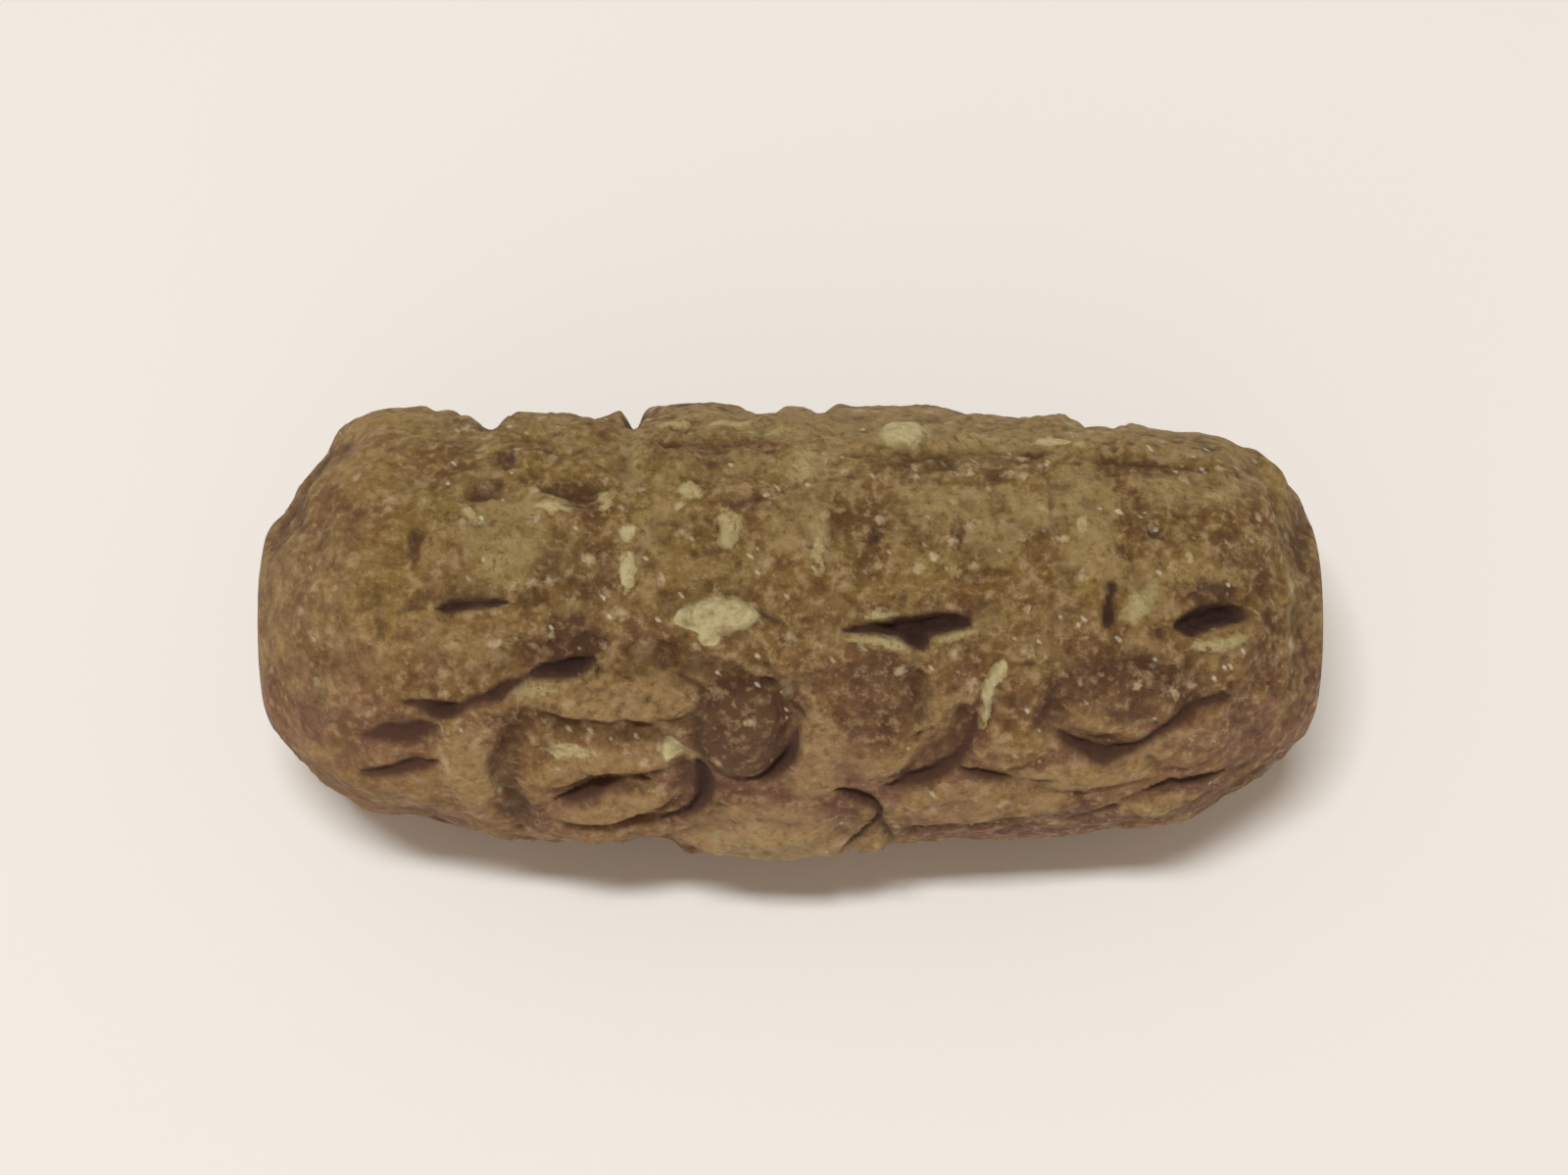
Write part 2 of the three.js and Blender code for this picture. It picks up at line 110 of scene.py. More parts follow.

# ---------------------------------------------------------------- carved cuts
# (route, half width, depth, softness): the route is a smooth curve through a few (x, angle)
# points, and the half width is one number or one for each point. Softness below 1 has steep
# walls and crisp rims, and 2 runs out gently. A cut as soft as CLEAN_SOFTNESS holds no dirt
# and no painted shade, and a steeper one is coloured dark by painted shade and dirt. One between
# CLEAN_SOFTNESS and SILTED_SOFTNESS is partly filled by dirt, and a steeper one is open.
CLEAN_SOFTNESS = 1.6
SILTED_SOFTNESS = 0.85
SILTED_DEPTH = 0.62  # share of its depth that the dirt in a silted cut leaves open
CUTS = [
    # deep gash near the middle: its slot, the pocket, the slope into it and the fold below
    ([(2.4, 21.8), (3.4, 21.3), (4.6, 21.2), (5.8, 20.5), (7, 19.5), (7.8, 19.5)],
     (0.12, 0.22, 0.34, 0.44, 0.4, 0.2), 1.1, 0.7),
    ([(4.9, 20.8), (5.35, 22.4), (5.6, 24.2), (5.65, 26.6)], (0.5, 0.66, 0.5, 0.2), 1.12, 0.8),
    ([(3.4, 16.8), (6, 15.4), (8.6, 15.8)], 1, 0.3, 2),
    ([(5.6, 27), (5.6, 34), (5.7, 41), (5.6, 48)], 0.62, 0.34, 1.8),
    ([(8.2, 24.4), (8.7, 23.4)], 0.18, 0.26, 1.4),
    # short pit near the +X end, its lower step and the slope into it
    ([(16.95, 20.9), (17.6, 19.9), (18.6, 17.9), (19.5, 17.3), (19.95, 17.6)],
     (0.18, 0.5, 0.6, 0.48, 0.16), 1.25, 0.8),
    ([(17.1, 21.8), (17.5, 22), (18.1, 21.4)], 0.26, 0.88, 1),
    ([(17.2, 14.8), (18.6, 12.8), (20, 14.2)], 1.05, 0.48, 2),
    # upright slot, in two lengths
    ([(14, 8.4), (14.05, 10.2), (14, 11.9)], 0.24, 0.76, 1),
    ([(13.85, 12.8), (13.95, 16), (13.9, 19), (13.8, 20.8)],
     (0.18, 0.3, 0.3, 0.14), 0.84, 0.9),
    # upturned curve below the pit, with the stroke at its left
    ([(11.4, 48), (11.9, 51.6), (12.7, 55.6), (13.8, 57.6), (15, 55.2), (16.1, 51),
      (17.1, 46.6), (18.1, 43), (19.1, 41.8), (19.7, 41.4)],
     (0.18, 0.3, 0.38, 0.4, 0.38, 0.36, 0.34, 0.32, 0.26, 0.1), 0.64, 1.1),
    ([(12.4, 50), (14.2, 53), (16.2, 47.6), (17.8, 41)], 0.95, 0.26, 2),
    ([(12, 34.2), (11.6, 37.6), (11.3, 41), (11, 45), (10.8, 47.8)],
     (0.14, 0.26, 0.36, 0.3, 0.12), 0.46, 1.3),
    ([(11.6, 37), (11.3, 43), (11, 49)], 0.8, 0.24, 2),
    # two cuts low on the +X half
    ([(15.9, 72.4), (16.6, 71.2), (17.5, 70.4), (18.4, 70.2), (19.2, 70)],
     (0.18, 0.36, 0.44, 0.4, 0.18), 0.76, 1),
    ([(12.6, 86), (14.2, 81), (15.3, 76.5), (16.2, 72.5)], 0.6, 0.24, 1.8),
    ([(7.4, 60), (8.2, 62.2), (9, 64.4), (10, 65.9)], (0.16, 0.3, 0.3, 0.14), 0.6, 1.1),
    ([(10.7, 66.9), (11.2, 66.4), (11.8, 65.7)], 0.2, 0.26, 1.4),
    # diagonal trench
    ([(8, 43.4), (7.9, 48), (7.6, 53), (7.1, 58), (6.3, 61.6), (5.3, 63.6),
      (4.3, 65.6)], (0.12, 0.24, 0.3, 0.44, 0.6, 0.52, 0.22), 0.8, 1.1),
    ([(7.4, 44), (6.9, 51), (6.1, 57), (5, 61)], 1, 0.38, 1.8),
    # hook round the boss: pit, thin crack and broad crescent
    ([(-1.2, 34.3), (-0.8, 34.6), (-0.4, 35)], 0.26, 0.64, 1),
    ([(-0.5, 35.2), (0, 38.6), (0.45, 42), (0.75, 45)], (0.12, 0.14, 0.16, 0.1), 0.44, 0.9),
    ([(0.4, 46), (0.2, 50), (-0.1, 54.6), (-0.6, 58.8), (-1.1, 61.8), (-1.8, 63.4)],
     (0.14, 0.3, 0.42, 0.46, 0.36, 0.12), 0.92, 1.1),
    ([(0.1, 45), (-0.5, 52), (-1.3, 58.5)], 0.95, 0.3, 2),
    ([(-1.1, 29.1), (-0.85, 29.9), (-0.7, 30.8)], 0.16, 0.34, 1.1),
    # crack at the right of the pale lump
    ([(-1.9, 15), (-1.3, 16.8), (-0.6, 18.9), (0.1, 20.5)], (0.08, 0.16, 0.16, 0.08), 0.34, 1.1),
    # edge of the sloping lobe and the hollow above it
    ([(-6, 31.4), (-5.2, 32.9), (-4.6, 34.6), (-3.9, 36.2), (-3.1, 38)], 0.16, 0.28, 1.2),
    ([(-8.4, 26.5), (-6.2, 28), (-3.8, 31), (-2.2, 34)], 1, 0.36, 2),
    # long slanting gash of the -X half, with the slope into it
    ([(-16.9, 40.8), (-16, 41.6), (-15.1, 43), (-14.4, 42.3), (-13.8, 40.4), (-13, 38.2),
      (-12.3, 35.8), (-11.6, 33.4)], (0.16, 0.34, 0.56, 0.42, 0.34, 0.34, 0.32, 0.24), 0.9, 1.2),
    ([(-12.1, 34.4), (-11.2, 32.4), (-10.4, 31.2), (-9.7, 30.4), (-9.1, 29.6), (-8.6, 29)],
     (0.16, 0.24, 0.34, 0.38, 0.32, 0.14), 1.15, 0.9),
    ([(-9.2, 22.5), (-9.1, 25), (-8.9, 28.4)], 0.45, 0.3, 1.7),
    ([(-13.8, 33), (-11.6, 28), (-9.4, 24.5)], 1.2, 0.38, 2),
    ([(-8.5, 32), (-8.25, 33)], 0.18, 0.36, 1.1),
    # strokes under it
    ([(-18.9, 51.2), (-18, 50.2), (-17, 49.3), (-16.2, 48.5), (-15.5, 47.6)],
     (0.28, 0.58, 0.8, 0.66, 0.28), 0.6, 1.5),
    ([(-19.1, 66.2), (-18.1, 63.8), (-17.1, 61.2), (-16.3, 60), (-15.5, 59)],
     (0.24, 0.44, 0.56, 0.46, 0.18), 0.7, 1.4),
    ([(-17.8, 58), (-16.2, 56.4)], 0.5, 0.22, 2),
    # straight gash above
    ([(-17.7, 15.4), (-16.9, 15.8), (-16, 16.3)], 0.24, 0.36, 1.4),
    ([(-15.4, 16.7), (-14.8, 16.4), (-13.9, 16), (-12.9, 15.2), (-12.2, 15)],
     (0.12, 0.26, 0.2, 0.2, 0.1), 0.95, 0.9),
    ([(-16, 13.6), (-13.6, 12), (-11.4, 12.4)], 0.95, 0.3, 2),
    ([(-11.9, 14.7), (-10.8, 14.2)], 0.32, 0.32, 1.6),
    ([(-18.1, 9.5), (-17.9, 17), (-17.8, 24)], 0.45, 0.2, 2),
    # shaded hollow at the left end of the paired rolls
    ([(-11.2, 40), (-11.7, 46), (-12.3, 54), (-12.5, 62), (-12.3, 69)],
     (0.4, 0.75, 1, 1, 0.7), 0.42, 1.8),
    ([(-12.7, 67), (-12.2, 74), (-12, 82), (-12.3, 93)], 0.8, 0.45, 1.7),
    ([(-10.6, 43.6), (-9.7, 46.4), (-8.7, 48)], 0.75, 0.32, 1.7),
    ([(-7.1, 46), (-6.3, 48.2), (-5.6, 50.2)], 0.6, 0.28, 1.7),
    # slot between the rolls, the tiny pit at its tip, the crease below
    ([(-10.5, 72.2), (-9.9, 70.6), (-9, 68.2), (-8.1, 65.8), (-7.4, 63.8)],
     (0.12, 0.3, 0.4, 0.34, 0.14), 0.85, 1),
    ([(-10.2, 66.6), (-8.6, 64), (-7.6, 61.4)], 0.6, 0.18, 2),
    ([(-6.8, 63.3), (-6.4, 64.1), (-6, 64.9)], 0.18, 0.52, 1),
    ([(-11, 80.4), (-9, 81.4), (-7.2, 81.2), (-5.7, 80.2)], 0.32, 0.36, 1.5),
    # dark pocket at the right end of the rolls
    ([(-4.1, 57.4), (-3.9, 61.5), (-3.8, 66.5), (-3.95, 71.5), (-4.5, 77), (-5.2, 81.5),
      (-6, 84.2)], (0.16, 0.44, 0.58, 0.58, 0.5, 0.36, 0.14), 0.95, 1.5),
    ([(-4.5, 60), (-4.7, 69), (-5.6, 76)], 0.8, 0.32, 2),
    # fold low in the middle
    ([(1.7, 66.6), (2.4, 67.6), (3, 69.6), (3.5, 73.4), (3.9, 78.6), (3.8, 83.5)],
     (0.14, 0.36, 0.4, 0.34, 0.28, 0.24), 0.8, 1.1),
    ([(3.9, 81.5), (3.3, 87), (2.7, 94), (1.4, 104)], 0.26, 0.44, 1.1),
    ([(4, 83), (4.5, 90), (4.7, 98)], 0.32, 0.44, 1.4),
    ([(5.6, 88), (7.6, 88.6), (9.6, 87.6)], 0.5, 0.2, 1.8),
    # short marks of the upper half
    ([(-16.55, -4.2), (-16.6, 1.2)], 0.3, 0.28, 1.4),
    ([(-12.1, -2.4), (-12, 0.2), (-11.5, 1.4)], 0.26, 0.4, 1.2),
    ([(-10.7, -14), (-9.9, -12.6), (-9, -12.3), (-8.2, -12.8)], 0.2, 0.4, 1),
    ([(-10.6, -17.6), (-9.4, -16.4), (-8.2, -18.6)], 0.85, 0.34, 1.8),
    ([(-14.8, -16), (-12.8, -15.6)], 0.6, 0.32, 1.8),
    ([(-12.7, -31), (-12.3, -27), (-12.6, -23)], 0.38, 0.28, 1.5),
    ([(3.6, -5), (3.9, -1.6)], 0.22, 0.38, 1.2),
    ([(7.35, -7.4), (7.4, -1.6)], 0.2, 0.3, 1.3),
    ([(11.25, -30), (11.35, -14), (11.45, 0)], 0.2, 0.24, 1.4),
    ([(15.6, -6.6), (16.3, -4.2)], 0.45, 0.3, 1.6),
    ([(17.8, -13.4), (18.1, -12.6)], 0.18, 0.24, 1.2),
    ([(3, -13.2), (5.6, -13.4)], 0.2, 0.2, 1.4),
    ([(5.3, -17.4), (5.7, -16.8)], 0.18, 0.24, 1.2),
    ([(-2.4, -12.2), (-1.4, -13.4), (-0.5, -14.6)], 0.5, 0.26, 1.6),
    ([(-1.8, -32), (-1.1, -29.4)], 0.16, 0.28, 1.2),
    ([(-3.6, -10), (-3.5, -4.6)], 0.24, 0.22, 1.5),
    ([(5.95, -41), (6, -36.4)], 0.2, 0.34, 1.2),
    ([(-12.2, -52), (-10.4, -52.6)], 0.26, 0.26, 1.4),
    ([(9.9, 30.2), (11.6, 30.2)], 0.16, 0.2, 1.4),
    # notches over the back edge, and the crease at the +X end
    ([(-13.6, -46), (-13.7, -60), (-13.8, -78), (-13.7, -104)], 1.45, 0.95, 2.1),
    ([(-7.05, -44), (-7.1, -58), (-7.2, -74), (-7.4, -104)], 0.78, 1.15, 2.2),
    ([(-7.1, -8), (-7.2, -24), (-7.05, -42)], 0.7, 0.16, 2),
    ([(-1.2, -54), (-1.3, -70), (-1.1, -94)], 1.2, 0.42, 1.8),
    ([(1.35, -54), (1.45, -70), (1.6, -90)], 0.95, 0.38, 1.8),
    ([(21.5, -16), (21.6, 4), (21.5, 24), (21.4, 44)], 0.6, 0.14, 1.9),
    # ledge lines high on the wall
    ([(2.8, -27), (4.4, -27.6), (5.6, -30.4), (8.6, -32), (11, -32)], 0.7, 0.28, 1.8),
    ([(13, -31), (15.6, -30.6), (18.4, -29.6)], 0.55, 0.32, 1.6),
    ([(-5.6, -33.5), (-3.6, -33), (-1.6, -33.6)], 0.65, 0.26, 1.8),
    # plainer cuts round the back and underneath
    ([(-19, -118), (-13.5, -127), (-8, -121)], 0.62, 0.8, 1.1),
    ([(-18, -110), (-13.6, -118), (-9, -113)], 0.9, 0.25, 2),
    ([(-3.4, -111), (0.8, -122), (0, -137), (-4.2, -143)], 0.52, 0.8, 1.1),
    ([(5, -106), (10, -113), (15.5, -108)], 0.52, 0.8, 1.1),
    ([(7.5, -134), (13, -141), (18, -131)], 0.5, 0.7, 1.1),
    ([(-16.5, -146), (-11, -142)], 0.5, 0.6, 1.2),
    ([(19, -92), (20.2, -108), (19.4, -124)], 0.46, 0.55, 1.3),
    ([(-20.4, -84), (-21.2, -104)], 0.5, 0.45, 1.4),
    ([(-11, 118), (-5, 126), (1, 121)], 0.52, 0.75, 1.1),
    ([(6, 111), (11.5, 119), (17, 112)], 0.52, 0.75, 1.1),
    ([(-18.4, 104), (-15, 116)], 0.5, 0.65, 1.2),
    ([(9.5, 138), (14.5, 143)], 0.46, 0.5, 1.2),
    ([(-12, 146), (-6, 149)], 0.46, 0.45, 1.3),
    ([(19.6, 96), (20.4, 118)], 0.32, 0.36, 1.4),
    ([(18.6, 150), (19.8, 170)], 0.46, 0.4, 1.4),
    ([(-20.6, 140), (-20, 166)], 0.46, 0.4, 1.4),
]

# ---------------------------------------------------------------- swellings and hollows
# (x, angle, half size along, half size round, turn in degrees, height, firmness):
# a firm one has a flat top and steep sides.
SWELLINGS = [
    # pale lump at the top of the middle, in three parts
    (-3, 17.4, 1.7, 0.72, 4, 0.42, 2.2),
    (-3.6, 14.4, 0.9, 0.45, -30, 0.25, 1.8),
    (-3.7, 22.6, 1, 0.45, 22, 0.28, 2),
    # round boss inside the hook
    (-2.1, 48.5, 2.25, 2.6, 0, 0.62, 1.3),
    # sloping lobe to its left
    (-8, 38.8, 4.6, 1.3, 4, 0.5, 1.5),
    (-12.6, 41, 0.7, 0.4, -40, 0.25, 1.5),
    (-8.85, 31.2, 0.42, 0.38, 0, 0.4, 1.8),
    # paired rolls, and the third below them
    (-9.6, 58.6, 2.4, 1.05, -32, 0.42, 1.3),
    (-7.2, 56, 2.7, 1, -4, 0.55, 1.3),
    (-8, 73.6, 3.4, 1, -14, 0.55, 1.3),
    (-7.8, 88, 3.6, 1.1, -4, 0.4, 1.3),
    (-9.4, 51.4, 1.5, 0.35, -14, 0.18, 1.5),
    # ridge at the right of the hook, and the block beyond it
    (1.1, 55.6, 1.2, 3.2, 0, 0.32, 1),
    (3.8, 47, 2.3, 3, 0, 0.42, 1.4),
    (6.3, 43, 1.6, 0.42, -40, 0.3, 1.4),
    # lips of the deep gash
    (3.6, 24.2, 1.55, 0.38, 14, 0.3, 1.4),
    (4.9, 27, 0.45, 0.75, 0, 0.16, 1.3),
    (7.4, 22.9, 1.3, 0.32, -14, 0.28, 1.4),
    (6.4, 25.2, 0.34, 0.6, 20, 0.2, 1.4),
    (3.9, 18, 1, 0.24, 8, 0.2, 1.4),
    # narrow upright ridge
    (9.3, 32.6, 0.4, 0.6, 20, 0.28, 1.3),
    (8.75, 37.4, 0.3, 0.8, 14, 0.3, 1.3),
    (8.4, 43, 0.26, 0.9, 8, 0.26, 1.3),
    # bands between the trench and the +X end
    (9.6, 55, 1.8, 1.3, 0, 0.32, 1.4),
    (14.8, 43, 3, 2.1, -4, 0.42, 1.5),
    (13.2, 64, 3.4, 0.95, -4, 0.34, 1.3),
    (17.8, 54, 2.2, 1.5, -24, 0.38, 1.3),
    (8.6, 75, 4.4, 1.7, 0, 0.34, 1.4),
    (16.9, 79, 1.8, 0.9, -6, 0.32, 1.4),
    (-14.2, 62, 1.3, 2.9, -6, 0.34, 1.3),
    # rim of the pit
    (18.7, 25, 1.6, 0.36, -8, 0.3, 1.4),
    (20.4, 20.6, 0.4, 0.8, 0, 0.22, 1.4),
    (16.6, 18.6, 0.32, 0.45, 0, 0.28, 1.4),
    (15.3, 14.6, 0.34, 1.3, -28, 0.18, 1.4),
    # lobe low in the middle, and the pebble beside it
    (-0.9, 96, 4, 3.2, 0, 0.68, 1.4),
    (-0.4, 79, 3, 2, 0, 0.26, 1.4),
    (3.7, 96, 0.9, 1, 0, 0.5, 1.5),
    # flat light fields of the upper half
    (5, -38, 1.3, 1.1, -20, 0.22, 2.4),
    (8.5, -38.5, 1, 0.6, 0, 0.14, 2),
    (11.8, -36.5, 1, 0.55, 6, 0.2, 2.2),
    (-2.7, -42, 1.3, 0.6, 0, 0.18, 2),
    (-5.2, -43.5, 0.7, 0.4, 0, 0.14, 2),
    (-4.4, -15, 0.45, 0.65, 0, 0.14, 2.2),
    (-2.7, -4.5, 0.55, 1.05, 0, 0.14, 2),
    (1.2, 2.5, 0.36, 0.95, 0, 0.14, 1.8),
    (-7.15, -4, 0.4, 0.36, 0, 0.18, 1.8),
    (-7.1, 6.4, 0.4, 0.6, 0, 0.16, 1.8),
    (-11.6, -28, 0.55, 0.6, 0, 0.2, 1.6),
    (18.7, -18.6, 0.75, 0.45, 0, 0.18, 1.8),
    (12.7, -6.2, 0.34, 0.6, 0, 0.14, 1.8),
    # full and hollow stretches of the shoulders and the back edge
    (-23, -58, 2.2, 4.6, 0, -0.42, 1),
    (-23, 104, 1.6, 4, 0, -0.3, 1.2),
    (23.3, -54, 1.2, 3.6, 0, -0.3, 1.2),
    (20.8, 106, 3, 4.4, 0, -0.45, 1),
    (-18.4, 100, 5.6, 5.2, 0, -0.8, 1),
    (-6.2, 108, 1.5, 3, 0, -0.45, 1.3),
    (-18.2, -70, 3.4, 4, 0, 0.42, 2),
    (-21.4, -50, 1.8, 2.8, 0, -0.5, 1.2),
    (-15.7, -72, 1.3, 3.2, 0, -0.36, 1.2),
    (-8.5, -74, 0.7, 3, 0, -0.22, 1.3),
    (-22.8, -26, 1.4, 2.2, 0, -0.32, 1.3),
    (17.6, -70, 3.6, 4.6, 0, -0.3, 1.3),
    (22.4, -64, 2, 4, 0, 0.4, 1.2),
    (-4.3, -72, 2.4, 4, 0, 0.12, 1.4),
    (5.2, -76, 4.4, 4, 0, 0.18, 1.2),
    (-10.2, -70, 3, 3.6, 0, -0.34, 1.3),
    (10, -70, 4, 3.6, 0, -0.14, 1.2),
    (14.1, -74, 1.6, 4.6, 0, -0.5, 1.5),
    (19.8, 90, 3.4, 4, 0, -0.35, 1),
    (23.2, 0, 1.8, 6.6, 0, -0.38, 1),
    (22, 18, 0.6, 5, 0, 0.1, 1.1),
    (12, -72, 1.2, 3, 0, 0.16, 1.3),
    # plainer shapes round the back and underneath
    (-13.5, -108, 4, 2, 0, 0.35, 1.4),
    (-2.5, -128, 2.6, 2.4, 0, 0.45, 1.4),
    (10.5, -125, 4.5, 1.6, 0, 0.35, 1.4),
    (-14, -152, 3, 1.2, 0, 0.2, 1.4),
    (11, 130, 4, 1.8, 0, 0.35, 1.4),
    (-5, 113, 3.6, 1.6, 0, 0.3, 1.4),
    (-13, 134, 3, 2, 0, 0.25, 1.4),
    (2.5, 138, 2.4, 1.8, 0, 0.22, 1.4),
]

# ---------------------------------------------------------------- light and dark patches, partly painted light and shade
# (x, angle, half size along, half size round, turn in degrees, strength): above 1 the patch
# stays closed to its very edge.
PALE_PATCHES = [
    (-1.2, 93, 3.2, 2.2, 0, 0.52), (-14.4, 66, 1, 2, -6, 0.3),
    (-3, 17.3, 1.7, 0.8, 4, 1.9), (-4.3, 18.2, 0.9, 0.55, 16, 1.8),
    (-3.6, 22.6, 0.55, 0.42, 10, 1.5),
    (5.1, -38.5, 1.4, 1.1, -24, 1.1), (4.5, -30.5, 0.9, 0.45, -20, 0.5),
    (8.4, -38.4, 1.2, 0.6, 0, 0.7), (9.7, -36.5, 0.5, 0.4, 0, 0.4),
    (11.9, -37.4, 1.4, 0.6, 8, 1.1), (15.8, -42.5, 1, 0.5, 0, 0.45),
    (-2.7, -42.2, 1.3, 0.5, 0, 0.9), (-0.8, -38.4, 1.3, 0.4, 8, 0.7),
    (-5.3, -43, 0.85, 0.4, 0, 0.85), (-13.6, -42.6, 0.8, 0.35, 0, 0.5),
    (-4.3, -15.2, 0.6, 0.6, 0, 0.95), (-2.7, -4, 0.6, 1.3, -6, 0.85),
    (1.25, 1.6, 0.4, 1.3, 6, 0.85), (-7.15, -4.2, 0.44, 0.42, 0, 1.5),
    (-7.1, 5.8, 0.34, 0.9, 0, 1.4), (-8, -13, 0.36, 0.8, 0, 0.85),
    (-7, -30, 0.4, 1.6, 0, 0.6), (-10.2, -11.2, 1.2, 0.3, 0, 1.05),
    (-12.6, 2.6, 1.1, 0.9, 0, 0.55), (-13.9, -8.8, 0.8, 0.26, 35, 0.9),
    (-14.8, 25.4, 0.36, 0.32, 0, 0.6), (-18.1, 25, 0.36, 0.22, 0, 0.45),
    (-17.2, -16.2, 0.4, 0.26, 0, 0.5), (-16, -14, 0.35, 0.6, 0, 0.4),
    (-17.6, -5.6, 0.5, 0.3, 15, 0.4), (18.8, -19, 0.6, 0.4, 0, 0.75),
    (17.8, -16.2, 0.6, 0.3, 0, 0.45), (12.7, -6.2, 0.34, 0.5, 0, 0.95),
    (12.3, -14.6, 0.5, 0.8, 0, 0.65), (12.6, 2, 0.5, 0.5, 0, 0.35),
    (15.3, 14.6, 0.55, 1.2, 28, 0.85), (16.7, 18.6, 0.3, 0.4, 0, 0.6),
    (18.8, 25.2, 1.6, 0.42, -10, 0.85), (3.8, 23.7, 1.7, 0.34, 8, 0.85),
    (7.3, 22.8, 1.3, 0.32, -10, 0.75), (3.8, 17.8, 1.2, 0.28, 0, 0.8),
    (9.15, 33, 0.34, 0.65, 20, 1.2), (8.65, 40, 0.28, 1.35, 8, 1.1),
    (8.3, 47, 0.24, 0.5, 0, 0.6), (9.9, 35.4, 0.26, 0.2, 20, 0.6),
    (6.2, 44, 1.4, 0.34, -38, 0.35), (-11.2, 36, 1.5, 0.5, -10, 0.7),
    (-8.85, 31.2, 0.36, 0.34, 0, 0.5), (-12.9, 40.6, 0.28, 0.24, 0, 0.55),
    (-9.8, 53.4, 1.2, 0.36, -8, 1.1),
    (-5.2, 52.8, 0.56, 0.46, 0, 1.5), (-4.55, 55, 0.34, 0.6, -25, 0.7),
    (-6.4, 67, 0.7, 0.22, 0, 0.4), (1.3, 43.5, 0.5, 0.4, 0, 0.35),
    (3.8, 95, 0.6, 0.8, 0, 0.45), (6.2, 69, 0.4, 0.24, -20, 0.45),
    (16.5, 80, 0.9, 0.6, 0, 0.35), (22.15, 14, 0.2, 1, 0, 0.35),
    (0.6, -24, 0.6, 1.6, 24, 0.75), (-0.1, -16.6, 0.4, 0.3, 0, 0.45),
    (7.3, 6.6, 0.35, 0.22, 15, 0.6), (8.7, -15.2, 0.3, 0.22, 20, 0.55),
    (8.8, -1.4, 0.4, 0.3, 0, 0.4), (11.4, 29.6, 0.5, 0.16, 0, 0.5),
    (-2.6, 28, 0.35, 0.45, 0, 0.4), (-12.4, 27, 0.5, 0.2, 30, 0.45),
    (-13.6, -124, 0.8, 0.5, 0, 0.5), (6, -150, 0.7, 0.6, 0, 0.5),
    (-6, 140, 0.8, 0.5, 20, 0.5), (14, 124, 0.6, 0.5, 0, 0.5),
    (1, -104, 0.6, 0.5, 0, 0.6), (16, -150, 0.5, 0.5, 0, 0.5),
    (-16, 150, 0.6, 0.4, 0, 0.5), (4, 118, 0.5, 0.4, 0, 0.45),
]

# tan tone, and painted light: the patches along the back rim and on the low lobe lighten places
# that the lamps leave darker
TAN_AND_LIT_PATCHES = [
    (-2, -26, 1.6, 1, 30, 0.5), (1.4, -28, 2.2, 1.6, -20, 0.8),
    (-12, -12, 3, 0.8, 0, 0.5), (13, -14, 1.5, 3.2, 0, 0.8),
    (8.6, -11, 4, 1.3, 0, 0.8), (17.6, -22, 2.8, 1.3, 0, 0.7),
    (6, -56, 10.5, 1.7, 0, 0.9), (-3.4, -52, 2.6, 1.8, 0, 0.7),
    (-10.4, -52, 2, 1.2, 0, 0.4), (18, -58, 3.6, 1.6, 0, 0.7),
    (-0.9, 92, 4.2, 3.6, 0, 1), (-14.2, 62, 1.5, 3.2, -6, 0.7),
    (-8, 39, 4.4, 1.2, 4, 0.6), (1.1, 57, 1.4, 3, 0, 0.75),
    (-9.6, 58, 2.2, 0.8, -32, 0.5), (-7.2, 55, 2.4, 0.7, -4, 0.45),
    (-7.6, 72, 2.8, 0.9, -14, 0.6), (4.2, -42, 9, 2, 0, 0.85),
    (16.5, -42, 4.6, 1.6, 0, 0.6), (-3, -44, 2.4, 1.2, 0, 0.5),
    (8.8, -4, 1.6, 1.4, 20, 0.75), (12.6, -6, 1, 3.4, 0, 0.55),
    (0.4, -8, 1.6, 2.6, 20, 0.6), (-12.4, -3, 2.2, 2.4, 0, 0.7),
    (-13.8, 25, 2.6, 1.1, 0, 0.45), (6.4, 43, 1.6, 0.5, -40, 0.6),
    (3.6, 58, 2, 0.7, 0, 0.5), (12.4, 66, 3.4, 1, -4, 0.6),
    (8.4, 73, 3.8, 1.4, 0, 0.55), (15.6, 56, 2.4, 0.8, -24, 0.5),
    (16.9, 79, 1.6, 0.9, 0, 0.6), (22.3, 16, 0.4, 4, 0, 0.5),
    (15.2, 20, 0.7, 2.2, 0, 0.5), (19, 26, 1.6, 0.6, 0, 0.4),
    (-21, 20, 2.2, 6.5, 0, 0.35), (-18, 78, 2.6, 1.4, 0, 0.4),
    (-18, -54, 3, 2.2, 0, 0.4), (-7, -28, 0.6, 3, 0, 0.8),
    (3, -124, 5, 2.4, 0, 0.5), (-12, 150, 4, 2.4, 0, 0.5),
    (10, 140, 4, 2, 0, 0.5), (-15, -140, 4, 2, 0, 0.5),
]
